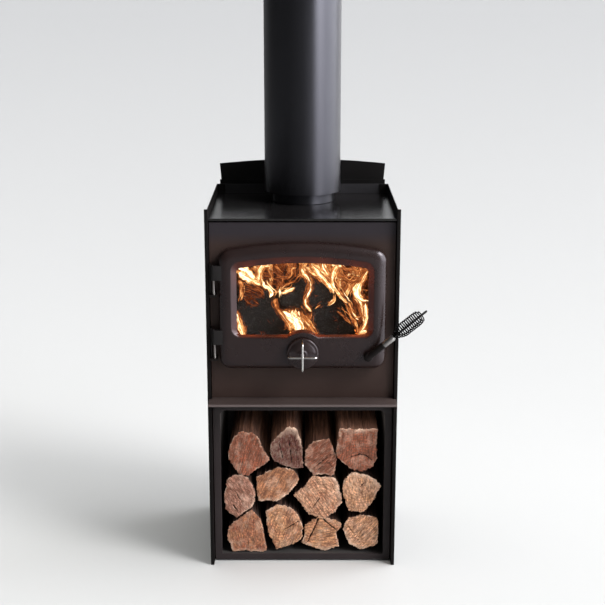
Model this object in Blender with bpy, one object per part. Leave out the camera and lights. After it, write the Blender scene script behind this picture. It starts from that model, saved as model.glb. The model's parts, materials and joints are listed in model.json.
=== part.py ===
"""Free-standing wood burning stove with a firewood store in its base.

Frame: +X to the viewer's right, +Y to the back, +Z up, in metres. The origin is the point on the
floor under the middle of the flue pipe. The viewer stands on the -Y side.
"""

import math

import bmesh
import bpy
from mathutils import Matrix, Vector

GAP = 0.0003

# Outer casing
CASE_TOP = 0.966
CASE_HALF = 0.238
FLANGE_HALF = 0.245
CASE_FRONT = -0.280
CASE_BACK = 0.104
SHEET = 0.002
REAR_FLANGE = 0.022

# Firebox, made of heavier plate inside the casing
PLATE = 0.006
FRONT_HALF = 0.2345
FRONT_FACE = -0.268
FRONT_BOTTOM = 0.470
FRONT_TOP = 0.931
TOP_PLATE_TOP = 0.941
TOP_PLATE_FRONT = -0.272
BASE_FRONT = -0.240
BASE_SHEET = 0.003
FIREBOX_HALF = 0.211
FIREBOX_BACK = 0.090
FIREBOX_BOTTOM = 0.483
MOUTH_HALF = 0.178
MOUTH_BOTTOM = 0.584
MOUTH_TOP = 0.850
MOUTH_CORNER = 0.012
BRICK = 0.025
BRICK_FRONT = -0.240
BRICK_TOP = 0.800
BAFFLE_FRONT = -0.130
BAFFLE_THICKNESS = 0.012
REST_UP = 0.858
REST_WIDTH = 0.018
REST_HEIGHT = 0.014

# Flue
CASING_R = 0.1015
CASING_WALL = 0.0015
CASING_BOTTOM = 0.968
FLUE_R = 0.075
FLUE_WALL = 0.0015
FLUE_TOP = 1.568
SPIGOT_R = 0.085
SPIGOT_WALL = 0.008
SPIGOT_TOP = 1.030
SPACER_UP = 1.080
SPACER_SHEET = 0.004

# Rear heat shield with its arched deflector
SHIELD_Y = 0.133
SHIELD_HALF = 0.2305
SHIELD_TOP = 0.974
SHIELD_BOTTOM = 0.460
SPACER_OUTER = 0.215
SPACER_INNER = 0.190
SPACER_BOTTOM = 0.490
SPACER_TOP = 0.940
DEFLECTOR_HALF = 0.2245
DEFLECTOR_LAP = 0.030
DEFLECTOR_CORNER = 1.0186
DEFLECTOR_PEAK = 1.031

# Door
DOOR_HALF = 0.211
DOOR_BOTTOM = 0.555
DOOR_TOP = 0.883
DOOR_FACE = -0.300
DOOR_BACK = -0.2725
DOOR_CORNER = 0.030
ROLL_WIDTH = 0.0235
ROLL_DEPTH = 0.0165
ARCH_R = 1.000
WINDOW_HALF = 0.166
WINDOW_BOTTOM = 0.645
WINDOW_TOP = 0.832
WINDOW_CORNER = 0.012
LIP_BACK = -0.2885
LIP = 0.0025
GLASS = 0.004
GLASS_SEAL = 0.0035
ROPE_WIDTH = 0.010
HINGE_X = -0.223
HINGE_Y = -0.290
HINGE_PIN_R = 0.0038
LUG_HEIGHTS = {"upper": 0.787, "lower": 0.6195}
LUG_LENGTH = 0.038
LUG_R = 0.0062
LEAF_FOOT = 0.0055

# Air spinner: a cast disc that screws along a threaded stud on the door
AIR_Z = 0.600
AIR_R = 0.041
AIR_BUMP = 0.059
AIR_BACK = -0.3045
AIR_HOLE_R = 0.006
AIR_HOLE_CIRCLE = 0.024
AIR_HOLE_TURNS = (20, 160, 200, 340)
CROSS_HALF = 0.036
CROSS_WIRE = 0.0027
CROSS_ROOT = 0.0098
CROSS_LEVEL = 0.0410
CROSS_UPRIGHT = 0.0440

# Handle, turning on a spindle through the door
HANDLE_X = 0.166
HANDLE_Z = 0.5925
HANDLE_ANGLE = math.radians(42.5)
HANDLE_LEAN = math.radians(9.5)
HANDLE_Y = -0.314
ARM_LENGTH = 0.0535
ARM_R = 0.0085
HUB_R = 0.011
HUB_HEIGHT = 0.018
ROD_R = 0.0080
ROD_TIP_R = 0.0028
SPINDLE_R = 0.006
SPINDLE_END = -0.2460
TONGUE_FRONT = -0.2575
TONGUE_BACK = -0.2525
COIL_START = 0.090
COIL_END = 0.177
ROD_END = 0.1965
COIL_R = 0.0178
COIL_NECK_R = 0.0085
COIL_TIP_R = 0.0100
COIL_WIRE = 0.00175
COIL_TURNS = 15

# Ash shelf and firewood store
SHELF_TOP = 0.4695
SHELF_FRONT = -0.327
SHELF_HALF = 0.2415
STORE_Y = -0.255
STORE_HALF = 0.2342
STORE_BOTTOM = 0.0045
STORE_OPEN_HALF = 0.2155
STORE_OPEN_BOTTOM = 0.021
STORE_OPEN_TOP = 0.4287
STORE_CORNER = 0.014
STORE_SHEET = 0.003
LOG_BACK = 0.080
LOG_SETBACK = 0.008
LOG_GROWTH = 0.0012
FIRE_LOG_FRONT = -0.228
FIRE_LOG_BACK = 0.045


def clear_scene():
    for old in list(bpy.data.objects):
        bpy.data.objects.remove(old, do_unlink=True)


def material(name, colour, roughness, metallic=0.0):
    made = bpy.data.materials.new(name)
    made.use_nodes = True
    shader = made.node_tree.nodes["Principled BSDF"]
    shader.inputs["Base Color"].default_value = (*colour, 1.0)
    shader.inputs["Roughness"].default_value = roughness
    shader.inputs["Metallic"].default_value = metallic
    return made


def node(name, shapes, look, parent=None, sharp=30.0):
    """Make one named object from one or more separate closed shapes."""
    mesh = bpy.data.meshes.new(name)
    whole = bmesh.new()
    for shape in shapes if isinstance(shapes, (list, tuple)) else [shapes]:
        piece = bpy.data.meshes.new("piece")
        bmesh.ops.recalc_face_normals(shape, faces=shape.faces)
        shape.to_mesh(piece)
        shape.free()
        whole.from_mesh(piece)
        bpy.data.meshes.remove(piece)
    whole.to_mesh(mesh)
    whole.free()
    mesh.shade_smooth()
    mesh.set_sharp_from_angle(angle=math.radians(sharp))
    mesh.materials.append(look)
    made = bpy.data.objects.new(name, mesh)
    bpy.context.scene.collection.objects.link(made)
    if parent is not None:
        made.parent = parent
        made.matrix_parent_inverse = Matrix.Translation(-parent.location)
    return made


def axis_empty(name, place, parent=None):
    made = bpy.data.objects.new(name, None)
    made.empty_display_size = 0.05
    made.location = place
    bpy.context.scene.collection.objects.link(made)
    if parent is not None:
        made.parent = parent
        made.matrix_parent_inverse = Matrix.Translation(-parent.location)
    return made


def block(low, high):
    """A box between two corners."""
    shape = bmesh.new()
    bmesh.ops.create_cube(shape, size=1.0)
    size = Vector(high) - Vector(low)
    centre = (Vector(high) + Vector(low)) / 2
    bmesh.ops.scale(shape, vec=size, verts=shape.verts)
    bmesh.ops.translate(shape, vec=centre, verts=shape.verts)
    return shape


AXES = {
    "X": Matrix(((0, 0, 1), (1, 0, 0), (0, 1, 0))),
    "Y": Matrix(((1, 0, 0), (0, 0, 1), (0, 1, 0))),
    "Z": Matrix(((1, 0, 0), (0, 1, 0), (0, 0, 1))),
}


def prism(outline, along, start, end, holes=()):
    """Extrude a flat outline, with any holes, between two positions along an axis."""
    shape = bmesh.new()
    for loop in [outline, *holes]:
        corners = [shape.verts.new((u, v, 0.0)) for u, v in loop]
        for first, second in zip(corners, corners[1:] + corners[:1]):
            shape.edges.new((first, second))
    bmesh.ops.triangle_fill(shape, use_beauty=True, use_dissolve=False, edges=shape.edges)
    grown = bmesh.ops.extrude_face_region(shape, geom=list(shape.faces))
    moved = [part for part in grown["geom"] if isinstance(part, bmesh.types.BMVert)]
    bmesh.ops.translate(shape, vec=(0, 0, end - start), verts=moved)
    bmesh.ops.translate(shape, vec=(0, 0, start), verts=shape.verts)
    bmesh.ops.transform(shape, matrix=AXES[along].to_4x4(), verts=shape.verts)
    return shape


def turned(profile, place=(0, 0, 0), direction=(0, 0, 1), steps=48, hollow=False):
    """Spin a profile of (radius, height) points round an axis; a hollow one is a closed loop."""
    shape = bmesh.new()
    corners = [shape.verts.new((radius, 0.0, height)) for radius, height in profile]
    follow = corners[1:] + corners[:1] if hollow else corners[1:]
    edges = [shape.edges.new(pair) for pair in zip(corners, follow)]
    bmesh.ops.spin(shape, geom=corners + edges, axis=(0, 0, 1), cent=(0, 0, 0),
                   angle=math.tau, steps=steps, use_merge=True)
    bmesh.ops.remove_doubles(shape, verts=shape.verts, dist=1e-6)
    turn = Vector((0, 0, 1)).rotation_difference(Vector(direction)).to_matrix().to_4x4()
    bmesh.ops.transform(shape, matrix=Matrix.Translation(place) @ turn, verts=shape.verts)
    return shape


def pipe(outer, inner, low, high, place=(0, 0, 0), direction=(0, 0, 1), steps=48):
    profile = [(outer, low), (outer, high), (inner, high), (inner, low)]
    return turned(profile, place, direction, steps, hollow=True)


def rod(radius, low, high, place=(0, 0, 0), direction=(0, 0, 1), steps=24):
    return turned([(0, low), (radius, low), (radius, high), (0, high)], place, direction, steps)


def rounded_rectangle(left, right, bottom, top, radius, steps=5):
    """Corner points of a rectangle with round corners, anticlockwise."""
    centres = ((right - radius, top - radius, 0), (left + radius, top - radius, 90),
               (left + radius, bottom + radius, 180), (right - radius, bottom + radius, 270))
    points = []
    for across, up, first in centres:
        for step in range(steps + 1):
            turn = math.radians(first + 90 * step / steps)
            points.append((across + radius * math.cos(turn), up + radius * math.sin(turn)))
    return points


def circle(across, up, radius, steps=24):
    turns = [math.tau * step / steps for step in range(steps)]
    return [(across + radius * math.cos(turn), up + radius * math.sin(turn)) for turn in turns]


def door_outline(half, bottom, top, arch, corner, bump=0.0):
    """Door-shaped loop: arched top, round corners, and a round bump over the air spinner."""
    arch_up = top - arch
    side_up = arch_up + math.sqrt((arch - corner) ** 2 - (half - corner) ** 2)
    lean = math.atan2(side_up - arch_up, half - corner)
    points = []
    for step in range(6):
        turn = lean * step / 5
        points.append((half - corner + corner * math.cos(turn), side_up + corner * math.sin(turn)))
    for step in range(1, 10):
        turn = lean + (math.pi - 2 * lean) * step / 10
        points.append((arch * math.cos(turn), arch_up + arch * math.sin(turn)))
    for step in range(6):
        turn = math.pi - lean + lean * step / 5
        points.append((corner - half + corner * math.cos(turn), side_up + corner * math.sin(turn)))
    for step in range(6):
        turn = math.radians(180 + 90 * step / 5)
        points.append((corner - half + corner * math.cos(turn), bottom + corner * (1 + math.sin(turn))))
    reach = max(bump, AIR_BUMP)
    edge = math.acos(min(1.0, math.sqrt(max(0.0, reach ** 2 - (bottom - AIR_Z) ** 2)) / reach))
    if not bump:
        edge = math.radians(50)
    for step in range(11):
        turn = math.pi - edge - (math.pi - 2 * edge) * step / 10
        up = AIR_Z + bump * math.sin(turn) if bump else bottom
        points.append((reach * math.cos(turn), max(up, bottom)))
    for step in range(6):
        turn = math.radians(270 + 90 * step / 5)
        points.append((half - corner + corner * math.cos(turn), bottom + corner * (1 + math.sin(turn))))
    return points


def frame_solid(loops):
    """A closed frame: the loops, each at its own depth, run round its cross-section."""
    shape = bmesh.new()
    rings = [[shape.verts.new((u, depth, v)) for u, v in loop] for loop, depth in loops]
    for ring, after in zip(rings, rings[1:] + rings[:1]):
        count = len(ring)
        for place in range(count):
            other = (place + 1) % count
            shape.faces.new((ring[place], ring[other], after[other], after[place]))
    return shape


def cut(target, shape, operation="DIFFERENCE"):
    """Cut a shape out of an object, or join it on, with a modifier and a hidden guide."""
    look = target.data.materials[0]
    guide = node("guide_" + target.name, shape, look, target.parent)
    guide.hide_render = True
    guide.display_type = "WIRE"
    step = target.modifiers.new(operation.title(), "BOOLEAN")
    step.operation = operation
    step.solver = "EXACT"
    step.object = guide


def build_casing(paint):
    for side, name in ((-1, "side_panel_left"), (1, "side_panel_right")):
        inner = CASE_HALF - SHEET
        outline = [(inner, CASE_FRONT), (FLANGE_HALF, CASE_FRONT), (FLANGE_HALF, CASE_FRONT + SHEET),
                   (CASE_HALF, CASE_FRONT + SHEET), (CASE_HALF, CASE_BACK),
                   (inner - REAR_FLANGE, CASE_BACK), (inner - REAR_FLANGE, CASE_BACK - SHEET),
                   (inner, CASE_BACK - SHEET)]
        node(name, prism([(side * u, v) for u, v in outline], "Z", 0.0, CASE_TOP), paint)
    back = CASE_BACK + GAP
    node("back_panel", block((-CASE_HALF, back, 0.004), (CASE_HALF, back + SHEET, CASE_TOP)), paint)
    floor_half = CASE_HALF - SHEET - GAP
    floor_back = CASE_BACK - 2 * SHEET
    node("base_plate", block((-floor_half, BASE_FRONT, 0.0), (floor_half, floor_back, BASE_SHEET)), paint)


def build_rear_shield(paint):
    back = CASE_BACK + GAP + SHEET
    node("rear_heat_shield", block((-SHIELD_HALF, SHIELD_Y, SHIELD_BOTTOM),
                                   (SHIELD_HALF, SHIELD_Y + SHEET, SHIELD_TOP)), paint)
    front = back + GAP
    rear = SHIELD_Y - GAP
    for side, name in ((-1, "shield_spacer_left"), (1, "shield_spacer_right")):
        outer = side * SPACER_OUTER
        inner = side * SPACER_INNER
        outline = [(outer, front), (outer, rear), (outer - side * SHEET, rear),
                   (outer - side * SHEET, front + SHEET), (inner + side * SHEET, front + SHEET),
                   (inner + side * SHEET, rear), (inner, rear), (inner, front)]
        node(name, prism(outline, "Z", SPACER_BOTTOM, SPACER_TOP), paint)
    rear = SHIELD_Y + SHEET + GAP
    low = SHIELD_TOP - DEFLECTOR_LAP
    rise = DEFLECTOR_PEAK - DEFLECTOR_CORNER
    arch = (SHIELD_HALF ** 2 + rise ** 2) / (2 * rise)
    outline = [(-DEFLECTOR_HALF, low), (DEFLECTOR_HALF, low)]
    for step in range(17):
        across = SHIELD_HALF * (1 - step / 8)
        outline.append((across, DEFLECTOR_PEAK - arch + math.sqrt(arch ** 2 - across ** 2)))
    node("flue_deflector", prism(outline, "Y", rear, rear + SHEET), paint)


def build_firebox(paint, brick, board):
    mouth = rounded_rectangle(-MOUTH_HALF, MOUTH_HALF, MOUTH_BOTTOM, MOUTH_TOP, MOUTH_CORNER)
    plate = [(-FRONT_HALF, FRONT_BOTTOM), (FRONT_HALF, FRONT_BOTTOM),
             (FRONT_HALF, FRONT_TOP), (-FRONT_HALF, FRONT_TOP)]
    node("front_plate", prism(plate, "Y", FRONT_FACE, FRONT_FACE + PLATE, [mouth]), paint)
    half = CASE_HALF - SHEET - GAP * 2
    back = CASE_BACK - SHEET - GAP
    cover = [(-half, TOP_PLATE_FRONT), (half, TOP_PLATE_FRONT), (half, back), (-half, back)]
    under = TOP_PLATE_TOP - PLATE
    flue_way = circle(0, 0, FLUE_R - 0.005, 48)
    node("top_plate", prism(cover, "Z", under, TOP_PLATE_TOP, [flue_way]), paint)
    inside = FRONT_FACE + PLATE + GAP
    top = under - GAP
    base = FIREBOX_BOTTOM + PLATE
    for side, name in ((-1, "firebox_wall_left"), (1, "firebox_wall_right")):
        edges = sorted((side * FIREBOX_HALF, side * (FIREBOX_HALF - PLATE)))
        node(name, block((edges[0], inside, base + GAP), (edges[1], FIREBOX_BACK, top)), paint)
    wall = FIREBOX_HALF - PLATE - GAP
    rear = block((-wall, FIREBOX_BACK - PLATE, base + GAP), (wall, FIREBOX_BACK, top))
    node("firebox_wall_back", rear, paint)
    node("firebox_floor_plate", block((-FIREBOX_HALF, inside, FIREBOX_BOTTOM),
                                      (FIREBOX_HALF, FIREBOX_BACK, base)), paint)
    build_bricks(brick, base + GAP, wall - GAP)
    back = FIREBOX_BACK - PLATE - GAP
    half = wall - SHEET
    low = REST_UP + SHEET + GAP
    baffle = block((-half, BAFFLE_FRONT, low), (half, back, low + BAFFLE_THICKNESS))
    node("baffle_plate", baffle, board)
    for side, name in ((-1, "baffle_rest_left"), (1, "baffle_rest_right")):
        toe = wall - REST_WIDTH
        heel = wall - SHEET + 2 * GAP
        rail = [(side * wall, REST_UP), (side * toe, REST_UP), (side * toe, REST_UP + SHEET),
                (side * heel, REST_UP + SHEET), (side * heel, REST_UP + REST_HEIGHT),
                (side * wall, REST_UP + REST_HEIGHT)]
        node(name, prism(rail, "Y", BAFFLE_FRONT, back), paint)


def build_bricks(brick, floor, wall):
    """Line the firebox with four slabs: a floor, two sides and a back."""
    back = FIREBOX_BACK - PLATE - GAP
    node("firebrick_floor", block((-wall, BRICK_FRONT, floor), (wall, back, floor + BRICK)), brick)
    low = floor + BRICK + GAP
    depth = back - BRICK - GAP
    for side, name in ((-1, "firebrick_left"), (1, "firebrick_right")):
        edges = sorted((side * wall, side * (wall - BRICK)))
        node(name, block((edges[0], BRICK_FRONT, low), (edges[1], depth, BRICK_TOP)), brick)
    node("firebrick_back", block((-wall, back - BRICK, low), (wall, back, BRICK_TOP)), brick)


def build_flue(paint, steel):
    foot = TOP_PLATE_TOP + GAP
    node("flue_spigot", pipe(SPIGOT_R, SPIGOT_R - SPIGOT_WALL, foot, SPIGOT_TOP, steps=64), paint)
    node("flue_inner_pipe", pipe(FLUE_R, FLUE_R - FLUE_WALL, foot, FLUE_TOP, steps=64), steel)
    node("flue_casing", pipe(CASING_R, CASING_R - CASING_WALL, CASING_BOTTOM, FLUE_TOP, steps=64), paint)
    ring = []
    for step in range(72):
        turn = math.tau * step / 72
        on_arm = step % 24 in (17, 18, 19)
        reach = CASING_R - CASING_WALL - 2 * GAP if on_arm else FLUE_R + 0.005
        ring.append((reach * math.cos(turn), reach * math.sin(turn)))
    bore = circle(0, 0, FLUE_R + 2 * GAP, 72)
    node("flue_spacer", prism(ring, "Z", SPACER_UP, SPACER_UP + SPACER_SHEET, [bore]), steel)


def build_hinges(paint, bright):
    for name, up in LUG_HEIGHTS.items():
        leaf_low = up - 0.042
        leaf_high = up + LUG_LENGTH + 0.003
        left = -FRONT_HALF + GAP
        plate = block((left, HINGE_Y + 0.006, leaf_low), (HINGE_X - 0.007, FRONT_FACE - GAP, leaf_high))
        leaf = node("hinge_bracket_" + name, plate, paint)
        foot = block((left - 0.0001, HINGE_Y - LUG_R - GAP, leaf_low - 0.0002),
                     (HINGE_X + LUG_R, FRONT_FACE - GAP - 0.0001, leaf_low + LEAF_FOOT))
        cut(leaf, foot, "UNION")
        pin_low = leaf_low + LEAF_FOOT + GAP
        node("hinge_pin_" + name, rod(HINGE_PIN_R, pin_low, up + 0.033, (HINGE_X, HINGE_Y, 0)), bright)


def build_shelf_and_store(paint):
    back = FRONT_FACE + PLATE
    notch = CASE_FRONT - GAP
    outline = [(-SHELF_HALF, SHELF_FRONT), (SHELF_HALF, SHELF_FRONT), (SHELF_HALF, notch),
               (FRONT_HALF, notch), (FRONT_HALF, back), (-FRONT_HALF, back), (-FRONT_HALF, notch),
               (-SHELF_HALF, notch)]
    shelf_low = SHELF_TOP - PLATE
    node("ash_shelf", prism(outline, "Z", shelf_low, SHELF_TOP), paint)
    opening = [(STORE_OPEN_HALF, STORE_OPEN_BOTTOM)]
    radius = STORE_CORNER
    for across, first in ((STORE_OPEN_HALF - radius, 0), (radius - STORE_OPEN_HALF, 90)):
        for step in range(6):
            turn = math.radians(first + 90 * step / 5)
            up = STORE_OPEN_TOP + radius * (math.sin(turn) - 1)
            opening.append((across + radius * math.cos(turn), up))
    opening.append((-STORE_OPEN_HALF, STORE_OPEN_BOTTOM))
    top = shelf_low - GAP
    outline = [(-STORE_HALF, STORE_BOTTOM), (STORE_HALF, STORE_BOTTOM),
               (STORE_HALF, top), (-STORE_HALF, top)]
    store_back = STORE_Y + STORE_SHEET
    node("wood_box_frame", prism(outline, "Y", STORE_Y, store_back, [opening]), paint)
    front = store_back + GAP
    half = STORE_OPEN_HALF + 0.004
    floor_top = STORE_OPEN_BOTTOM - 0.0005
    floor = block((-half, front, floor_top - SHEET), (half, FIREBOX_BACK, floor_top))
    node("wood_box_floor", floor, paint)
    low = floor_top + GAP
    high = FIREBOX_BOTTOM - GAP
    for side, name in ((-1, "wood_box_side_left"), (1, "wood_box_side_right")):
        edges = sorted((side * half, side * (half - SHEET)))
        node(name, block((edges[0], front, low), (edges[1], FIREBOX_BACK, high)), paint)
    inner = half - SHEET - GAP
    node("wood_box_back", block((-inner, FIREBOX_BACK - SHEET, low), (inner, FIREBOX_BACK, high)), paint)


# Split log ends, as corner points across and up from the floor
FIREWOOD = {
    "bottom": (
        ((-0.200, 0.068), (-0.186, 0.026), (-0.106, 0.024), (-0.099, 0.036), (-0.113, 0.112),
         (-0.136, 0.143), (-0.194, 0.096)),
        ((-0.091, 0.086), (-0.070, 0.030), (-0.014, 0.052), (-0.003, 0.092), (-0.011, 0.119),
         (-0.030, 0.145), (-0.068, 0.155), (-0.096, 0.138)),
        ((0.000, 0.046), (0.061, 0.026), (0.097, 0.037), (0.088, 0.075), (0.103, 0.094),
         (0.092, 0.108), (0.044, 0.115), (0.010, 0.098)),
        ((0.110, 0.090), (0.129, 0.048), (0.154, 0.032), (0.199, 0.046), (0.200, 0.118),
         (0.166, 0.127), (0.124, 0.119)),
    ),
    "middle": (
        ((-0.206, 0.178), (-0.201, 0.142), (-0.176, 0.125), (-0.135, 0.156), (-0.130, 0.202),
         (-0.140, 0.226), (-0.161, 0.242), (-0.198, 0.231)),
        ((-0.120, 0.206), (-0.115, 0.172), (-0.070, 0.171), (-0.037, 0.194), (-0.012, 0.227),
         (-0.024, 0.251), (-0.062, 0.262), (-0.118, 0.238)),
        ((-0.022, 0.184), (0.017, 0.132), (0.060, 0.121), (0.086, 0.138), (0.104, 0.169),
         (0.099, 0.194), (0.083, 0.233), (0.028, 0.236), (0.006, 0.206)),
        ((0.110, 0.202), (0.124, 0.144), (0.163, 0.141), (0.184, 0.170), (0.206, 0.212),
         (0.174, 0.240), (0.129, 0.248), (0.113, 0.226)),
    ),
    "top": (
        ((-0.194, 0.297), (-0.168, 0.250), (-0.143, 0.244), (-0.124, 0.264), (-0.090, 0.286),
         (-0.110, 0.338), (-0.133, 0.362), (-0.167, 0.364), (-0.193, 0.312)),
        ((-0.083, 0.307), (-0.072, 0.284), (-0.028, 0.265), (0.000, 0.266), (-0.008, 0.342),
         (-0.017, 0.372), (-0.036, 0.377), (-0.080, 0.332)),
        ((0.009, 0.276), (0.031, 0.244), (0.080, 0.242), (0.087, 0.292), (0.077, 0.321),
         (0.068, 0.343), (0.025, 0.330), (0.009, 0.300)),
        ((0.093, 0.297), (0.130, 0.264), (0.160, 0.257), (0.182, 0.270), (0.194, 0.290),
         (0.193, 0.346), (0.197, 0.374), (0.100, 0.374), (0.094, 0.326)),
    ),
}

# Ends of the logs on the fire, in the same way
BURNING_LOGS = {
    "left": ((-0.165, 0.740), (-0.158, 0.762), (-0.140, 0.770), (-0.112, 0.764), (-0.087, 0.731),
             (-0.070, 0.700), (-0.046, 0.656), (-0.036, 0.612), (-0.060, 0.594), (-0.140, 0.594),
             (-0.166, 0.640), (-0.169, 0.690)),
    "right": ((0.022, 0.672), (0.034, 0.695), (0.061, 0.704), (0.086, 0.694), (0.108, 0.679),
              (0.128, 0.652), (0.138, 0.618), (0.120, 0.596), (0.050, 0.594), (0.026, 0.622)),
    "top": ((-0.054, 0.724), (-0.040, 0.740), (-0.001, 0.774), (0.024, 0.778), (0.046, 0.768),
            (0.074, 0.745), (0.080, 0.728), (0.060, 0.712), (0.033, 0.705), (-0.012, 0.696),
            (-0.052, 0.706)),
}


def grown(outline, by):
    """Move each corner of an outline away from its middle."""
    corners = [Vector(corner) for corner in outline]
    middle = sum(corners, Vector((0, 0))) / len(corners)
    return [corner + by * (corner - middle).normalized() for corner in corners]


def build_wood(wood, char, ember):
    for row, outlines in FIREWOOD.items():
        heights = [up for outline in outlines for across, up in outline]
        middle = (min(heights) + max(heights)) / 2
        web = block((-0.170, LOG_BACK - 0.025, middle - 0.012), (0.170, LOG_BACK - 0.005, middle + 0.012))
        logs = []
        for place, outline in enumerate(outlines):
            front = STORE_Y + LOG_SETBACK + 0.003 * (place % 3)
            logs.append(prism(grown(outline, LOG_GROWTH), "Y", front, LOG_BACK))
        cut(node("firewood_" + row + "_row", web, wood), logs, "UNION")
    for name, outline in BURNING_LOGS.items():
        node("burning_log_" + name, prism(outline, "Y", FIRE_LOG_FRONT, FIRE_LOG_BACK), char)
    floor = FIREBOX_BOTTOM + PLATE + BRICK + 3 * GAP
    outline = [(-0.176, floor), (0.176, floor), (0.172, 0.566), (0.060, 0.586), (-0.070, 0.588),
               (-0.170, 0.572)]
    node("ember_bed", prism(outline, "Y", -0.225, 0.050), ember)


def build_door(hinge, iron, glass, rope, steel):
    outer = (DOOR_HALF, DOOR_BOTTOM, DOOR_TOP, ARCH_R, DOOR_CORNER)

    def inset(shape, by, bump=0.0):
        half, bottom, top, arch, corner = shape
        return door_outline(half - by, bottom + by, top - by, arch - by, corner - by * 0.5, bump)

    window = (WINDOW_HALF, WINDOW_BOTTOM, WINDOW_TOP, ARCH_R - (DOOR_TOP - WINDOW_TOP), WINDOW_CORNER)
    bezel = (0.182, 0.637, 0.852, ARCH_R - 0.031, 0.026)
    pocket = (0.180, 0.632, 0.848, ARCH_R - 0.035, 0.014)
    loops = [(inset(outer, 0), DOOR_BACK)]
    for step in range(5):
        turn = math.radians(90 * step / 4)
        by = ROLL_WIDTH * (1 - math.cos(turn))
        loops.append((inset(outer, by), DOOR_FACE + ROLL_DEPTH * (1 - math.sin(turn))))
    loops += [
        (door_outline(*bezel, bump=0.052), DOOR_FACE),
        (inset(bezel, 0.003, 0.054), DOOR_FACE + 0.0015),
        (door_outline(*window, bump=AIR_BUMP), LIP_BACK - LIP),
        (door_outline(*window, bump=AIR_BUMP), LIP_BACK),
        (door_outline(*pocket), LIP_BACK),
        (door_outline(*pocket), DOOR_BACK),
    ]
    door = node("door_frame", frame_solid(loops), iron, hinge)
    for up in LUG_HEIGHTS.values():
        lug = [(-0.200, HINGE_Y - LUG_R), (-0.200, HINGE_Y + LUG_R)]
        for step in range(9):
            turn = math.radians(90 + 180 * step / 8)
            lug.append((HINGE_X + LUG_R * math.cos(turn), HINGE_Y + LUG_R * math.sin(turn)))
        bore = circle(HINGE_X, HINGE_Y, HINGE_PIN_R + 0.0004, 24)
        cut(door, prism(lug, "Z", up, up + LUG_LENGTH, [bore]), "UNION")
    start = DOOR_FACE - 0.005
    end = DOOR_BACK + 0.005
    holes = [rod(SPINDLE_R + GAP, start, end, (HANDLE_X, 0, HANDLE_Z), (0, 1, 0))]
    for turn in AIR_HOLE_TURNS:
        across = AIR_HOLE_CIRCLE * math.cos(math.radians(turn))
        up = AIR_Z + AIR_HOLE_CIRCLE * math.sin(math.radians(turn))
        holes.append(rod(AIR_HOLE_R, start, end, (across, 0, up), (0, 1, 0), 20))
    cut(door, holes)

    pane = (0.178, 0.634, 0.846, ARCH_R - 0.037, 0.012)
    seal_front = LIP_BACK + GAP
    seal_back = seal_front + GLASS_SEAL
    seal = [(door_outline(*pane), seal_front), (inset(pane, 0.008), seal_front),
            (inset(pane, 0.008), seal_back), (door_outline(*pane), seal_back)]
    node("glass_seal", frame_solid(seal), rope, hinge)
    glass_front = seal_back + GAP
    glass_back = glass_front + GLASS
    node("door_glass", prism(door_outline(*pane), "Y", glass_front, glass_back), glass, hinge)

    glass_side = glass_back + GAP
    behind = DOOR_BACK + GAP
    retainers = (("lower", 0.641, 0.6365, 0.620, 0.120), ("upper", 0.8345, 0.844, 0.8605, 0.055))
    for name, inner, step_up, outer_edge, half in retainers:
        profile = [(glass_side, inner), (glass_side, step_up), (behind, step_up),
                   (behind, outer_edge), (behind + SHEET, outer_edge), (behind + SHEET, inner)]
        node("glass_retainer_" + name, prism(profile, "X", -half, half), steel, hinge)

    rope_back = FRONT_FACE - GAP
    outside = inset(outer, 0.008)
    inside = inset(outer, 0.008 + ROPE_WIDTH)
    ring = [(outside, behind), (outside, rope_back), (inside, rope_back), (inside, behind)]
    node("door_rope_seal", frame_solid(ring), rope, hinge)
    baffle_top = 0.6185
    baffle_low = 0.588
    baffle_back = -0.2610
    leg = [(behind, baffle_top - SHEET), (behind, baffle_top), (baffle_back, baffle_top),
           (baffle_back, baffle_low), (baffle_back - SHEET, baffle_low),
           (baffle_back - SHEET, baffle_top - SHEET)]
    node("air_baffle", prism(leg, "X", -0.045, 0.045), steel, hinge)


def build_air_spinner(hinge, travel, spin, iron, bright):
    front = DOOR_FACE - GAP
    node("air_spinner_stud", rod(0.004, 0.0, 0.0235, (0, front, AIR_Z), (0, -1, 0)), bright, hinge)
    washer = pipe(0.010, 0.0044, 0.0018, 0.0032, (0, AIR_BACK, AIR_Z), (0, -1, 0), 24)
    node("air_spinner_washer", washer, bright, travel)
    profile = [(0.0045, 0.0035), (0.0115, 0.0035), (0.0125, 0.0), (AIR_R, 0.0), (AIR_R, 0.0050),
               (AIR_R - 0.0025, 0.0075), (0.0300, 0.0100), (0.0200, 0.0124), (0.0120, 0.0134),
               (0.0105, 0.0150), (0.0045, 0.0150)]
    node("air_spinner_disc", turned(profile, (0, AIR_BACK, AIR_Z), (0, -1, 0), 48, hollow=True), iron, spin)
    level = node("air_spinner_cross", bent_wire(Vector((1, 0, 0)), AIR_BACK - CROSS_LEVEL), bright, spin)
    cut(level, bent_wire(Vector((0, 0, 1)), AIR_BACK - CROSS_UPRIGHT), "UNION")


def bent_wire(along, front):
    """A round bar in front of the disc, with both ends bent back to the disc's face."""
    half = CROSS_HALF
    root = AIR_BACK - CROSS_ROOT
    bend = 0.007
    middle = Vector((0, 0, AIR_Z))
    points = [middle - along * half + Vector((0, root, 0))]
    for end in (-1, 1):
        turns = range(5) if end < 0 else range(4, -1, -1)
        for step in turns:
            turn = math.radians(90 * step / 4)
            out = half - bend + bend * math.cos(turn)
            depth = front + bend - bend * math.sin(turn)
            points.append(middle + along * end * out + Vector((0, depth, 0)))
    points.append(middle + along * half + Vector((0, root, 0)))
    return tube(points, CROSS_WIRE, 10)


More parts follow.
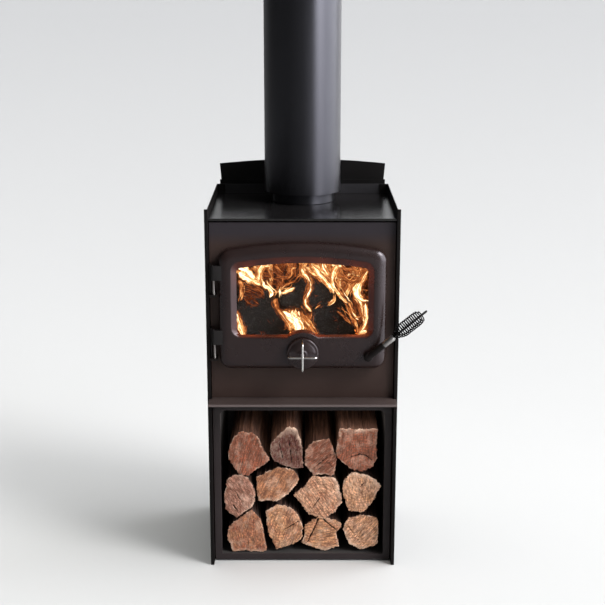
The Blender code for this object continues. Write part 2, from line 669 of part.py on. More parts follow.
def tube(points, radius, sides):
    """Sweep a circle along points and close both ends."""
    shape = bmesh.new()
    rings = []
    side = None
    for place, point in enumerate(points):
        before = points[max(place - 1, 0)]
        after = points[min(place + 1, len(points) - 1)]
        ahead = (after - before).normalized()
        if side is None:
            side = ahead.orthogonal().normalized()
        side = (side - ahead * side.dot(ahead)).normalized()
        across = ahead.cross(side)
        turns = [math.tau * step / sides for step in range(sides)]
        rings.append([shape.verts.new(point + radius * (side * math.cos(turn) + across * math.sin(turn)))
                      for turn in turns])
    for ring, after in zip(rings, rings[1:]):
        for step in range(sides):
            other = (step + 1) % sides
            shape.faces.new((ring[step], ring[other], after[other], after[step]))
    shape.faces.new(rings[0][::-1])
    shape.faces.new(rings[-1])
    return shape


def handle_direction():
    flat = math.cos(HANDLE_LEAN)
    return Vector((math.cos(HANDLE_ANGLE) * flat, -math.sin(HANDLE_LEAN), math.sin(HANDLE_ANGLE) * flat))


def coil_radius(share):
    """Middle-line radius of the handle's coil along its length, from 0 to 1."""
    swell_end = 0.34
    fall_start = 0.80
    if share < swell_end:
        rise = share / swell_end
        return COIL_NECK_R + (COIL_R - COIL_NECK_R) * (0.5 - 0.5 * math.cos(math.pi * rise))
    if share < fall_start:
        return COIL_R
    fall = (share - fall_start) / (1 - fall_start)
    return COIL_TIP_R + (COIL_R - COIL_TIP_R) * math.sqrt(max(0.0, 1 - fall ** 2.2))


def build_handle(turn_axis, iron, bright):
    start = Vector((HANDLE_X, HANDLE_Y, HANDLE_Z))
    ahead = handle_direction()
    hub = [(0, 0), (HUB_R, 0), (HUB_R, HUB_HEIGHT - 0.003), (HUB_R - 0.002, HUB_HEIGHT), (0, HUB_HEIGHT)]
    hub_back = DOOR_FACE - 0.003
    arm = node("handle_arm", turned(hub, (HANDLE_X, hub_back, HANDLE_Z), (0, -1, 0), 32), iron, turn_axis)
    tube_profile = [(0, 0), (ARM_R, 0), (ARM_R, ARM_LENGTH - 0.001), (ARM_R - 0.001, ARM_LENGTH),
                    (0, ARM_LENGTH)]
    cut(arm, turned(tube_profile, start, ahead, 32), "UNION")
    begin = ARM_LENGTH + GAP
    neck = COIL_START - 0.002
    profile = [(0, begin), (ROD_R, begin), (ROD_R, neck - 0.004), (0.0055, neck),
               (ROD_TIP_R, neck + 0.012), (ROD_TIP_R, ROD_END - 0.004), (0.0020, ROD_END), (0, ROD_END)]
    node("handle_rod", turned(profile, start, ahead, 24), bright, turn_axis)
    side = ahead.cross(Vector((0, 1, 0))).normalized()
    other = ahead.cross(side)
    points = []
    per_turn = 14
    count = COIL_TURNS * per_turn
    for step in range(count + 1):
        share = step / count
        turn = math.tau * step / per_turn
        radius = coil_radius(share)
        along = COIL_START + (COIL_END - COIL_START) * share
        points.append(start + ahead * along + radius * (side * math.cos(turn) + other * math.sin(turn)))
    node("handle_coil", tube(points, COIL_WIRE, 6), iron, turn_axis, sharp=70)
    spindle = rod(SPINDLE_R, hub_back + GAP, SPINDLE_END, (HANDLE_X, 0, HANDLE_Z), (0, 1, 0))
    node("handle_spindle", spindle, bright, turn_axis)
    outline = [(HANDLE_X - 0.008, HANDLE_Z - 0.004), (HANDLE_X - 0.004, HANDLE_Z - 0.0075),
               (HANDLE_X + 0.004, HANDLE_Z - 0.0075), (HANDLE_X + 0.008, HANDLE_Z - 0.004),
               (HANDLE_X + 0.007, HANDLE_Z + 0.032), (HANDLE_X - 0.003, HANDLE_Z + 0.032),
               (HANDLE_X - 0.008, HANDLE_Z + 0.020)]
    bore = circle(HANDLE_X, HANDLE_Z, SPINDLE_R + GAP, 24)
    node("latch_tongue", prism(outline, "Y", TONGUE_FRONT, TONGUE_BACK, [bore]), iron, turn_axis)
    rear = FRONT_FACE + PLATE + GAP
    wedge = [(rear, HANDLE_Z + 0.002), (rear, HANDLE_Z + 0.052), (rear + 0.0015, HANDLE_Z + 0.052),
             (rear + 0.0035, HANDLE_Z + 0.034), (rear + 0.0035, HANDLE_Z + 0.002)]
    node("latch_striker", prism(wedge, "X", MOUTH_HALF + 0.0005, MOUTH_HALF + 0.013), iron)


def main():
    clear_scene()
    paint = material("stove_paint", (0.032, 0.027, 0.026), 0.55)
    cast = material("cast_iron", (0.034, 0.027, 0.025), 0.48)
    bright = material("bright_steel", (0.62, 0.60, 0.58), 0.25, 1.0)
    steel = material("flue_steel", (0.42, 0.41, 0.40), 0.35, 1.0)
    brick = material("firebrick", (0.38, 0.33, 0.27), 0.95)
    board = material("vermiculite", (0.48, 0.43, 0.36), 0.95)
    glass = material("ceramic_glass", (0.80, 0.70, 0.60), 0.03)
    rope = material("seal_rope", (0.10, 0.10, 0.10), 0.95)
    wood = material("split_wood", (0.52, 0.31, 0.19), 0.80)
    char = material("charred_wood", (0.020, 0.017, 0.016), 0.90)
    ember = material("embers", (0.45, 0.10, 0.02), 0.90)

    build_casing(paint)
    build_rear_shield(paint)
    build_firebox(paint, brick, board)
    build_flue(paint, steel)
    build_hinges(paint, bright)
    build_shelf_and_store(paint)
    build_wood(wood, char, ember)

    hinge = axis_empty("door_hinge_axis", (HINGE_X, HINGE_Y, 0.7))
    travel = axis_empty("air_travel_axis", (0, AIR_BACK, AIR_Z), hinge)
    spin = axis_empty("air_spin_axis", (0, AIR_BACK, AIR_Z), travel)
    turn_axis = axis_empty("handle_turn_axis", (HANDLE_X, HANDLE_Y, HANDLE_Z), hinge)
    build_door(hinge, cast, glass, rope, steel)
    build_air_spinner(hinge, travel, spin, cast, bright)
    build_handle(turn_axis, cast, bright)


main()
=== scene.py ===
"""Looks of the wood burning stove: materials, fine meshes, fire, firewood, floor, light and camera."""

import json
import math
import random

import bmesh
import bpy
from mathutils import Matrix, Vector, noise


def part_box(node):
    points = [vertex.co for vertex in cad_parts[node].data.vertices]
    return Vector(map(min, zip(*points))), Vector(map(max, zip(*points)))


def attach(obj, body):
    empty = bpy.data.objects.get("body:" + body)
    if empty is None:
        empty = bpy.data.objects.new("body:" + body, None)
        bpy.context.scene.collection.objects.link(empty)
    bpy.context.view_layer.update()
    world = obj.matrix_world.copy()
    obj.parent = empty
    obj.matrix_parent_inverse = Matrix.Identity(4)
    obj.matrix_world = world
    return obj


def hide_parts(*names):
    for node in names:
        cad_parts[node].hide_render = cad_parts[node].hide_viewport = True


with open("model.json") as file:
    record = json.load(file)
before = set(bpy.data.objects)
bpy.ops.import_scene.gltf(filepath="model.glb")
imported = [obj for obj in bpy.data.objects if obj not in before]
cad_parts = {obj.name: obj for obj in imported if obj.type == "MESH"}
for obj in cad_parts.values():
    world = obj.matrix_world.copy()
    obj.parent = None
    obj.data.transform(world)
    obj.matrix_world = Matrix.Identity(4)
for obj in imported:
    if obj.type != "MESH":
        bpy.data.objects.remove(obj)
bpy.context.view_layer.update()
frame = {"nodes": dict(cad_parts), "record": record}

NODES = frame["nodes"]
SCENE = bpy.context.scene

# Places read from the frame
DOOR_LOW, DOOR_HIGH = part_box("door_frame")
DISC_LOW, DISC_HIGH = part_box("air_spinner_disc")
STORE_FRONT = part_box("wood_box_frame")[0].y

DOOR_FACE = DOOR_LOW.y
DOOR_BACK = DOOR_HIGH.y
DOOR_HALF = DOOR_HIGH.x
DOOR_BOTTOM = DOOR_LOW.z
DOOR_TOP = DOOR_HIGH.z
AIR_Z = (DISC_LOW.z + DISC_HIGH.z) / 2
AIR_R = (DISC_HIGH.z - DISC_LOW.z) / 2

# Door casting, in metres
ARCH_R = 1.000
DOOR_CORNER = 0.030
WINDOW_HALF = 0.166
WINDOW_BOTTOM = 0.645
WINDOW_TOP = 0.832
WINDOW_CORNER = 0.012
AIR_BUMP = 0.059
BEZEL_BUMP = 0.0515
BEZEL_ROUND = 0.006
GLASS_LIP = -0.2885
ROLL_WIDTH = 0.0235
ROLL_DEPTH = 0.0165
ROLL_STEPS = 14
AIR_HOLE_TURNS = (20, 160, 200, 340)
AIR_HOLE_REACH = 0.024
AIR_HOLE_R = 0.006

# Hinges
HINGE_X = -0.223
HINGE_Y = -0.290
LUG_REACH = 0.0062
LUG_END = -0.1990
LUG_BORE_R = 0.0042
LUG_HIGH = 0.038
LUG_LOWS = {"upper": 0.787, "lower": 0.6195}
PIN_SHANK_R = 0.0028
PIN_SHANK = 0.0355
PIN_CHAMFER = 0.0012

# Sheet metal and the small round edges that catch the light
SHEET = 0.0015
SPIGOT_WALL = 0.008
EDGE = 0.0006
SHELF_EDGE = 0.0009

# Air spinner's wire cross: how far each bar stands off the disc's back
CROSS_HALF = 0.036
CROSS_WIRE = 0.0027
CROSS_ROOT = 0.0072
CROSS_BEND = 0.007
CROSS_BARS = (((1, 0, 0), 0.0410), ((0, 0, 1), 0.0440))

# Handle: its turning point, its direction, and the stages along it
HANDLE_X = 0.166
HANDLE_Z = 0.5925
HANDLE = Vector((HANDLE_X, -0.314, HANDLE_Z))
HANDLE_ANGLE = math.radians(42.5)
HANDLE_LEAN = math.radians(9.5)
AHEAD = Vector((math.cos(HANDLE_ANGLE) * math.cos(HANDLE_LEAN), -math.sin(HANDLE_LEAN),
                math.sin(HANDLE_ANGLE) * math.cos(HANDLE_LEAN)))
SPINDLE_HOLE_R = 0.0063
ARM_END = 0.0535
FERRULE_R = 0.0080
FERRULE_END = 0.0882
ROD_END = 0.1965
COIL_START = 0.090
COIL_END = 0.177
COIL_TURNS = 15
COIL_STEPS = 40
COIL_WIRE = 0.00155
COIL_NECK_R, COIL_FULL_R, COIL_END_R = 0.0085, 0.0172, 0.0100
COIL_WIDENS, COIL_NARROWS = 0.34, 0.80


# ---------------------------------------------------------------- materials

class Look:
    """A node material: its Principled shader and short calls to build what feeds it."""

    def __init__(self, name, colour, roughness, metallic=0.0):
        self.material = bpy.data.materials.new(name)
        self.material.use_nodes = True
        self.tree = self.material.node_tree
        self.shader = self.tree.nodes["Principled BSDF"]
        self.shader.inputs["Base Color"].default_value = (*colour, 1.0)
        self.shader.inputs["Roughness"].default_value = roughness
        self.shader.inputs["Metallic"].default_value = metallic
        self.place = self.tree.nodes.new("ShaderNodeTexCoord").outputs["Object"]

    def add(self, kind, settings=None, **inputs):
        made = self.tree.nodes.new(kind)
        for key, value in (settings or {}).items():
            setattr(made, key, value)
        for key, value in inputs.items():
            numbered = key[0] == "i" and key[1:].isdigit()
            self.put(made.inputs[int(key[1:]) if numbered else key.replace("_", " ")], value)
        return made

    def put(self, socket, value):
        if isinstance(value, bpy.types.NodeSocket):
            self.tree.links.new(value, socket)
        elif isinstance(value, (tuple, list)) and len(value) == 3 and socket.type == "RGBA":
            socket.default_value = (*value, 1.0)
        else:
            socket.default_value = value

    def stretch(self, scale, source=None):
        return self.add("ShaderNodeMapping", Vector=source or self.place, Scale=scale).outputs[0]

    def noise(self, scale, detail=4.0, roughness=0.55, source=None, distortion=0.0):
        made = self.add("ShaderNodeTexNoise", Vector=source or self.place, Scale=scale, Detail=detail,
                        Roughness=roughness, Distortion=distortion)
        return made.outputs[0]

    def math(self, operation, first, second=0.5, third=None):
        made = self.add("ShaderNodeMath", {"operation": operation}, i0=first, i1=second)
        if third is not None:
            self.put(made.inputs[2], third)
        return made.outputs[0]

    def span(self, value, low, high, to_low=0.0, to_high=1.0):
        made = self.add("ShaderNodeMapRange", Value=value, From_Min=low, From_Max=high,
                        To_Min=to_low, To_Max=to_high)
        return made.outputs[0]

    def ramp(self, value, stops):
        made = self.add("ShaderNodeValToRGB", Fac=value)
        ramp = made.color_ramp
        while len(ramp.elements) < len(stops):
            ramp.elements.new(0.5)
        for element, (where, colour) in zip(ramp.elements, stops):
            element.position = where
            element.color = (*colour, 1.0) if len(colour) == 3 else colour
        return made.outputs[0]

    def mix(self, share, first, second, blend="MIX"):
        made = self.add("ShaderNodeMix", {"data_type": "RGBA", "blend_type": blend})
        self.put(made.inputs["Factor"], share)
        self.put(made.inputs[6], first)
        self.put(made.inputs[7], second)
        return made.outputs[2]

    def stored(self, name, output="Fac"):
        return self.add("ShaderNodeAttribute", {"attribute_name": name}).outputs[output]

    def part(self, axis):
        """The place along X, Y or Z."""
        return self.add("ShaderNodeSeparateXYZ", Vector=self.place).outputs[axis]

    def gaps(self, scale, width, source=None):
        """Lines between cells, 1 in the middle of a line."""
        made = self.add("ShaderNodeTexVoronoi", {"feature": "DISTANCE_TO_EDGE"},
                        Vector=source or self.place, Scale=scale)
        return self.span(made.outputs["Distance"], 0.0, width, 1.0, 0.0)

    def shine(self, colour, strength):
        self.put(self.shader.inputs["Emission Color"], colour)
        self.put(self.shader.inputs["Emission Strength"], strength)

    def colour(self, value):
        self.put(self.shader.inputs["Base Color"], value)

    def rough(self, value):
        self.put(self.shader.inputs["Roughness"], value)

    def bump(self, height, distance, strength=1.0):
        made = self.add("ShaderNodeBump", Height=height, Distance=distance, Strength=strength)
        self.put(self.shader.inputs["Normal"], made.outputs[0])


def painted_metal(name, dark, light, rough_low, rough_high, gloss=0.5, grain=900.0, depth=0.00012,
                  sheen=(1.0, 1.0, 1.0), blend=None):
    """Matt high-temperature paint: slight mottling, fine grain and uneven sheen.

    A blend (axis number, from, to, colour) turns the paint to another colour along one direction; the ash
    shelf uses it for a painted highlight on its front edge, and the store frame uses it for painted shade
    under the shelf.
    """
    look = Look(name, dark, rough_high)
    look.shader.inputs["Specular IOR Level"].default_value = gloss
    look.shader.inputs["Specular Tint"].default_value = (*sheen, 1.0)
    mottle = look.noise(9.0, 5.0, 0.6)
    paint = look.ramp(mottle, [(0.35, dark), (0.65, light)])
    if blend:
        axis, start, end, other = blend
        paint = look.mix(look.span(look.part(axis), start, end), paint, other)
    look.colour(paint)
    smudge = look.noise(16.0, 6.0, 0.65)
    look.rough(look.span(smudge, 0.3, 0.7, rough_low, rough_high))
    fine = look.noise(grain, 2.0, 0.5)
    coarse = look.noise(grain / 6, 3.0, 0.5)
    look.bump(look.math("MULTIPLY_ADD", coarse, 0.5, fine), depth)
    return look.material


def stroked_upright(material):
    """Stretch a paint's reflections up and down, as brushing round a pipe does."""
    tree = material.node_tree
    around = tree.nodes.new("ShaderNodeTangent")
    around.direction_type = "RADIAL"
    around.axis = "Z"
    shader = tree.nodes["Principled BSDF"]
    tree.links.new(around.outputs[0], shader.inputs["Tangent"])
    shader.inputs["Anisotropic"].default_value = 0.9
    shader.inputs["Anisotropic Rotation"].default_value = 0.25


def bright_metal(name, colour, roughness, along=(40.0, 40.0, 900.0)):
    look = Look(name, colour, roughness, 1.0)
    streak = look.noise(1.0, 3.0, 0.6, look.stretch(along))
    look.rough(look.span(streak, 0.3, 0.7, roughness * 0.8, roughness * 1.35))
    deep = tuple(part * 0.78 for part in colour)
    look.colour(look.mix(look.noise(30.0, 4.0), deep, colour))
    look.bump(streak, 0.00003)
    return look.material


def fired_board(name, pale, soot, scale=60.0):
    look = Look(name, pale, 0.95)
    patch = look.noise(scale / 5, 6.0, 0.65)
    speck = look.noise(scale * 4, 3.0, 0.7)
    body = look.ramp(patch, [(0.30, soot), (0.62, pale)])
    look.colour(look.mix(look.span(speck, 0.5, 0.7, 0.0, 0.35), body, soot))
    look.bump(look.math("MULTIPLY_ADD", speck, 0.4, patch), 0.0012)
    return look.material


def rope_look():
    look = Look("seal_rope", (0.10, 0.10, 0.10), 0.95)
    weave = look.add("ShaderNodeTexWave", {"wave_type": "BANDS", "bands_direction": "DIAGONAL"},
                     Vector=look.place, Scale=160.0, Distortion=1.0, Detail=2.0)
    fuzz = look.noise(1400.0, 2.0)
    look.colour(look.mix(weave.outputs[1], (0.045, 0.045, 0.045), (0.17, 0.165, 0.16)))
    look.bump(look.math("MULTIPLY_ADD", fuzz, 0.3, weave.outputs[1]), 0.0008)
    return look.material


def glass_look():
    look = Look("ceramic_glass", (0.9, 0.9, 0.88), 0.03)
    look.shader.inputs["IOR"].default_value = 1.5
    film = look.noise(7.0, 4.0, 0.6)
    look.put(look.shader.inputs["Alpha"], look.span(film, 0.3, 0.8, 0.035, 0.075))
    look.colour(look.mix(film, (0.05, 0.035, 0.025), (0.16, 0.11, 0.08)))
    look.rough(look.span(film, 0.2, 0.8, 0.02, 0.08))
    look.material.blend_method = "BLEND"
    return look.material


def wood_look():
    """Split firewood: grey-brown fibrous sides, and end grain with rings, rays and torn pale edges."""
    look = Look("split_wood", (0.5, 0.3, 0.18), 0.85)
    grain = look.stored("grain", "Vector")
    tint = look.stored("tint", "Color")
    end = look.stored("end")
    rim = look.stored("rim")
    rings = look.add("ShaderNodeTexWave", {"wave_type": "RINGS", "rings_direction": "Z"},
                     Vector=grain, Scale=40.0, Distortion=4.0, Detail=3.0, Detail_Scale=1.5).outputs[1]
    radial = look.add("ShaderNodeVectorMath", {"operation": "NORMALIZE"}, i0=grain).outputs[0]
    rays = look.noise(11.0, 5.0, 0.75, look.add("ShaderNodeVectorMath", {"operation": "MULTIPLY_ADD"},
                      i0=grain, i1=(9.0, 9.0, 1.0), i2=radial).outputs[0])
    fibres = look.noise(270.0, 5.0, 0.75)
    lighter = look.mix(0.32, tint, (1.0, 0.78, 0.60))
    patches = look.noise(34.0, 5.0, 0.65)
    cut = look.stored("cut", "Vector")
    saw = look.noise(1.0, 4.0, 0.65, look.stretch((90.0, 560.0, 1.0), cut), 0.5)
    mottle = look.noise(120.0, 3.0, 0.6)
    ringed = look.stored("ringed")
    drawn = look.math("MULTIPLY", look.span(rings, 0.35, 0.95, 0.0, 1.0), ringed)
    body = look.mix(drawn, tint, (0.15, 0.058, 0.032))
    body = look.mix(look.span(rays, 0.50, 0.62, 0.0, 0.74), body, (0.17, 0.062, 0.032))
    body = look.mix(look.span(patches, 0.50, 0.62, 0.0, 0.62), body, lighter)
    body = look.mix(look.span(fibres, 0.50, 0.63, 0.0, 0.55), body, (0.12, 0.045, 0.024))
    body = look.mix(look.span(mottle, 0.52, 0.60, 0.0, 0.50), body, (0.16, 0.065, 0.036))
    sawn = look.stored("sawn")
    body = look.mix(look.math("MULTIPLY", look.span(saw, 0.52, 0.66), sawn), body, lighter)
    body = look.mix(look.math("MULTIPLY", look.span(saw, 0.48, 0.34), sawn), body, (0.13, 0.050, 0.028))
    crack = look.stored("crack")
    torn = look.math("MULTIPLY", rim, look.span(look.noise(150.0, 4.0, 0.7), 0.34, 0.52))
    body = look.mix(torn, body, (0.92, 0.66, 0.49))
    # Cracks are painted near-black: painted shade inside the grooves that the mesh also cuts.
    body = look.mix(look.span(crack, 0.15, 0.6), body, (0.020, 0.010, 0.007))
    bark = look.noise(1.0, 5.0, 0.7, look.stretch((180.0, 7.0, 180.0)))
    side = look.ramp(bark, [(0.30, (0.014, 0.007, 0.005)), (0.52, (0.055, 0.026, 0.017)),
                            (0.72, (0.15, 0.070, 0.043))])
    look.colour(look.mix(end, side, body))
    height = look.math("MULTIPLY_ADD", fibres, 0.6, rays)
    look.bump(look.math("MULTIPLY_ADD", saw, 0.5, height), 0.0016)
    return look.material


def char_look():
    """Burning log: black cracked char with ash on it and a red glow deep in the cracks."""
    look = Look("charred_wood", (0.02, 0.017, 0.016), 0.85)
    gap = look.gaps(55.0, 0.055, look.stretch((1.0, 0.45, 1.0)))
    patch = look.noise(22.0, 5.0, 0.6)
    ash = look.span(look.noise(90.0, 5.0, 0.7), 0.56, 0.70)
    char, pale_ash = (0.0095, 0.0115, 0.0120), (0.13, 0.14, 0.14)
    look.colour(look.mix(look.math("MULTIPLY", ash, 0.30), char, pale_ash))
    glow = look.math("MULTIPLY", gap, look.span(patch, 0.56, 0.70))
    low = look.span(look.part(2), 0.60, 0.80, 1.0, 0.25)
    look.shine(look.ramp(glow, [(0.0, (0.35, 0.015, 0.002)), (1.0, (1.0, 0.26, 0.03))]),
               look.math("MULTIPLY", glow, look.math("MULTIPLY", low, 1.2)))
    look.bump(look.math("MULTIPLY_ADD", gap, -1.0, look.noise(160.0, 4.0, 0.7)), 0.003)
    return look.material


def ember_look():
    look = Look("embers", (0.05, 0.03, 0.02), 0.95)
    hot = look.math("MULTIPLY", look.gaps(60.0, 0.12), look.span(look.noise(18.0, 4.0, 0.6), 0.38, 0.62))
    coal, ash = (0.02, 0.014, 0.012), (0.20, 0.18, 0.16)
    look.colour(look.ramp(look.noise(70.0, 5.0, 0.7), [(0.35, coal), (0.7, ash)]))
    look.shine(look.ramp(hot, [(0.0, (0.5, 0.03, 0.004)), (1.0, (1.0, 0.42, 0.08))]),
               look.math("MULTIPLY", hot, 9.0))
    look.bump(look.noise(90.0, 4.0, 0.7), 0.003)
    return look.material


def flame_look():
    """Fire: colour and clearness come from the warmth, cover and flow stored on each tongue."""
    look = Look("flame", (0.0, 0.0, 0.0), 1.0)
    look.shader.inputs["Specular IOR Level"].default_value = 0.0
    warmth = look.stored("warmth")
    cover = look.stored("cover")
    flow = look.stored("flow", "Vector")
    strands = look.noise(1.0, 5.0, 0.62, look.stretch((17.0, 210.0, 1.0), flow), 0.9)
    patches = look.noise(80.0, 4.0, 0.65)
    mixed = look.math("MULTIPLY_ADD", patches, 0.30, look.math("MULTIPLY", strands, 0.70))
    warm = look.math("ADD", warmth, look.span(mixed, 0.36, 0.60, -0.56, 0.27))
    hue = look.ramp(warm, [(0.05, (1.0, 0.15, 0.035)), (0.25, (1.0, 0.205, 0.050)),
                           (0.45, (1.0, 0.255, 0.062)), (0.64, (1.0, 0.33, 0.085)),
                           (0.75, (1.0, 0.45, 0.13)), (0.86, (1.0, 0.64, 0.27)), (1.0, (1.0, 0.80, 0.50))])
    power = look.math("POWER", look.math("MAXIMUM", warm, 0.0), 2.2)
    look.shine(hue, look.math("MULTIPLY_ADD", power, 2.3, 0.07))
    ragged = look.math("MULTIPLY_ADD", look.math("SUBTRACT", mixed, 0.5), 4.6, cover)
    look.put(look.shader.inputs["Alpha"], look.math("MULTIPLY", look.span(ragged, 0.14, 0.60), 0.96))
    look.material.blend_method = "BLEND"
    return look.material


LAVENDER = (0.86, 0.86, 1.0)
PAINT = painted_metal("stove_paint", (0.0110, 0.0092, 0.0092), (0.0150, 0.0128, 0.0128), 0.46, 0.60,
                      0.26)
PAINT_SIDE = painted_metal("side_paint", (0.0046, 0.0036, 0.0034), (0.0066, 0.0052, 0.0050),
                           0.42, 0.54, 0.16)
PAINT_FRONT = painted_metal("front_paint", (0.0350, 0.0190, 0.0152), (0.0430, 0.0250, 0.0205),
                            0.50, 0.64, 0.26,
                            blend=(2, 0.872, 0.905, (0.0250, 0.0200, 0.0245)))
# Ash shelf paint: lighter along the shelf's front edge (Y from -0.3235 to -0.3255), a painted highlight where
# the rounded edge catches light.
SHELF_PAINT_EDGE_HIGHLIGHT = painted_metal("shelf_paint_edge_highlight", (0.0520, 0.0360, 0.0330), (0.0620, 0.0440, 0.0400),
                            0.50, 0.62, 0.30,
                            blend=(1, -0.3235, -0.3255, (0.110, 0.085, 0.082)))
# Wood store frame paint: much darker above z 0.425 to 0.445, painted shade under the ash shelf.
STORE_PAINT_SHADED_TOP = painted_metal("store_paint_shaded_top", (0.0250, 0.0175, 0.0180), (0.0310, 0.0225, 0.0230),
                            0.46, 0.58, 0.36,
                            blend=(2, 0.425, 0.445, (0.0070, 0.0048, 0.0048)))
PAINT_INSIDE = painted_metal("inside_paint", (0.050, 0.046, 0.045), (0.065, 0.060, 0.058), 0.60, 0.75, 0.20)
PAINT_BACK = painted_metal("back_paint", (0.0240, 0.0225, 0.0255), (0.0300, 0.0285, 0.0315),
                           0.44, 0.56, 0.30)
PAINT_TOP = painted_metal("top_paint", (0.0095, 0.0088, 0.0092), (0.0115, 0.0106, 0.0110), 0.12, 0.17, 0.50)
PAINT_REAR = painted_metal("rear_paint", (0.0032, 0.0025, 0.0025), (0.0045, 0.0038, 0.0038), 0.44, 0.56, 0.20)
PAINT_FLUE = painted_metal("flue_paint", (0.0034, 0.0033, 0.0036), (0.0046, 0.0045, 0.0050), 0.36, 0.42, 0.95,
                           sheen=LAVENDER)
CAST = painted_metal("cast_paint", (0.0140, 0.0064, 0.0051), (0.0182, 0.0089, 0.0073), 0.25, 0.32, 0.66,
                     500.0, 0.00018, (0.97, 0.92, 1.0))
CAST_DARK = painted_metal("cast_dark", (0.0050, 0.0030, 0.0028), (0.0075, 0.0050, 0.0046), 0.36, 0.48, 0.24,
                          500.0, 0.0002)
COIL = painted_metal("coil_paint", (0.0012, 0.0010, 0.0010), (0.0022, 0.0018, 0.0018), 0.50, 0.60, 0.06)
BRIGHT = bright_metal("bright_steel", (0.86, 0.84, 0.82), 0.16)
PIN = bright_metal("pin_steel", (0.62, 0.58, 0.56), 0.30)
ZINC = bright_metal("zinc_steel", (0.50, 0.48, 0.47), 0.30, (260.0, 260.0, 260.0))
ROD = bright_metal("rod_steel", (0.10, 0.095, 0.095), 0.42)
STEEL = bright_metal("flue_steel", (0.46, 0.44, 0.42), 0.34)
stroked_upright(PAINT_FLUE)
BRICK = fired_board("firebrick", (0.24, 0.19, 0.15), (0.035, 0.028, 0.024))
BOARD = fired_board("vermiculite_board", (0.30, 0.26, 0.21), (0.05, 0.04, 0.035))
ROPE = rope_look()
GLASS = glass_look()
WOOD = wood_look()
CHAR = char_look()
EMBER = ember_look()
FLAME = flame_look()


LOOKS = {
    "stove_paint": PAINT, "cast_iron": CAST, "bright_steel": PIN, "flue_steel": STEEL, "firebrick": BRICK,
    "vermiculite_board": BOARD, "ceramic_glass": GLASS, "seal_rope": ROPE, "split_wood": WOOD,
    "charred_wood": CHAR, "embers": EMBER,
}


# ---------------------------------------------------------------- mesh help

def finish_mesh(name, shape, look, body, sharp=35.0, replaces=()):
    """Turn a bmesh into a piece that rides a body and may stand for CAD nodes."""
    bmesh.ops.recalc_face_normals(shape, faces=shape.faces)
    mesh = bpy.data.meshes.new(name)
    shape.to_mesh(mesh)
    shape.free()
    mesh.shade_smooth()
    mesh.set_sharp_from_angle(angle=math.radians(sharp))
    mesh.materials.append(look)
    made = bpy.data.objects.new(name, mesh)
    SCENE.collection.objects.link(made)
    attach(made, body)
    if replaces:
        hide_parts(*replaces)
    return made


def node_shape(node):
    """A clean copy of a CAD node's mesh: welded, with flat areas joined."""
    source = NODES[node]
    shape = bmesh.new()
    shape.from_mesh(source.data)
    bmesh.ops.transform(shape, matrix=source.matrix_world, verts=shape.verts)
    bmesh.ops.remove_doubles(shape, verts=shape.verts, dist=1e-5)
    bmesh.ops.dissolve_limit(shape, angle_limit=math.radians(1.0), verts=shape.verts, edges=shape.edges)
    return shape


def round_edges(shape, sharp, width, steps):
    limit = math.radians(sharp)
    edges = [edge for edge in shape.edges if edge.is_manifold and edge.calc_face_angle(0) > limit]
    bmesh.ops.bevel(shape, geom=edges, offset=width, segments=steps, profile=0.5, affect="EDGES",
                    clamp_overlap=True)


def bevelled(node, look, body, width=EDGE, steps=2, sharp=20.0):
    """Stand-in for a CAD node with small round edges that catch the light."""
    shape = node_shape(node)
    round_edges(shape, sharp, width, steps)
    made = finish_mesh(node + "_fine", shape, look, body, 60.0, (node,))
    smooth = made.modifiers.new("WeightedNormal", "WEIGHTED_NORMAL")
    smooth.keep_sharp = True
    return made


def add_shape(target, part):
    """Move one bmesh into another."""
    spare = bpy.data.meshes.new("spare")
    part.to_mesh(spare)
    part.free()
    target.from_mesh(spare)
    bpy.data.meshes.remove(spare)


def turned(profile, place=(0, 0, 0), direction=(0, 0, 1), steps=96, hollow=False):
    """Spin (radius, height) points round an axis."""
    shape = bmesh.new()
    corners = [shape.verts.new((radius, 0.0, height)) for radius, height in profile]
    follow = corners[1:] + corners[:1] if hollow else corners[1:]
    edges = [shape.edges.new(pair) for pair in zip(corners, follow)]
    bmesh.ops.spin(shape, geom=corners + edges, axis=(0, 0, 1), cent=(0, 0, 0),
                   angle=math.tau, steps=steps, use_merge=True)
    bmesh.ops.remove_doubles(shape, verts=shape.verts, dist=1e-6)
    turn = Vector((0, 0, 1)).rotation_difference(Vector(direction)).to_matrix().to_4x4()
    bmesh.ops.transform(shape, matrix=Matrix.Translation(place) @ turn, verts=shape.verts)
    return shape


def join_rings(shape, rings):
    """Faces between each closed ring of corners and the next."""
    for ring, after in zip(rings, rings[1:]):
        for place in range(len(ring)):
            other = (place + 1) % len(ring)
            shape.faces.new((ring[place], ring[other], after[other], after[place]))


def soft_pipe(outer, inner, low, high, edge=0.0004, steps=128):
    """A pipe whose four rims are slightly rounded."""
    profile = []
    for radius, height, first in ((outer, low, -90), (outer, high, 0), (inner, high, 90), (inner, low, 180)):
        across = radius - edge if radius == outer else radius + edge
        up = height + edge if height == low else height - edge
        for step in range(4):
            turn = math.radians(first + 30 * step)
            profile.append((across + edge * math.cos(turn), up + edge * math.sin(turn)))
    return turned(profile, steps=steps, hollow=True)


def tube(points, radius, sides, radii=None):
    """Sweep a circle along points and close both ends."""
    shape = bmesh.new()
    rings = []
    side = None
    for place, point in enumerate(points):
        before = points[max(place - 1, 0)]
        after = points[min(place + 1, len(points) - 1)]
        ahead = (after - before).normalized()
        if side is None:
            side = ahead.orthogonal().normalized()
        side = (side - ahead * side.dot(ahead)).normalized()
        across = ahead.cross(side)
        size = radii[place] if radii else radius
        turns = [math.tau * step / sides for step in range(sides)]
        rings.append([shape.verts.new(point + size * (side * math.cos(turn) + across * math.sin(turn)))
                      for turn in turns])
    join_rings(shape, rings)
    shape.faces.new(rings[0][::-1])
    shape.faces.new(rings[-1])
    return shape


# ---------------------------------------------------------------- casing and flue

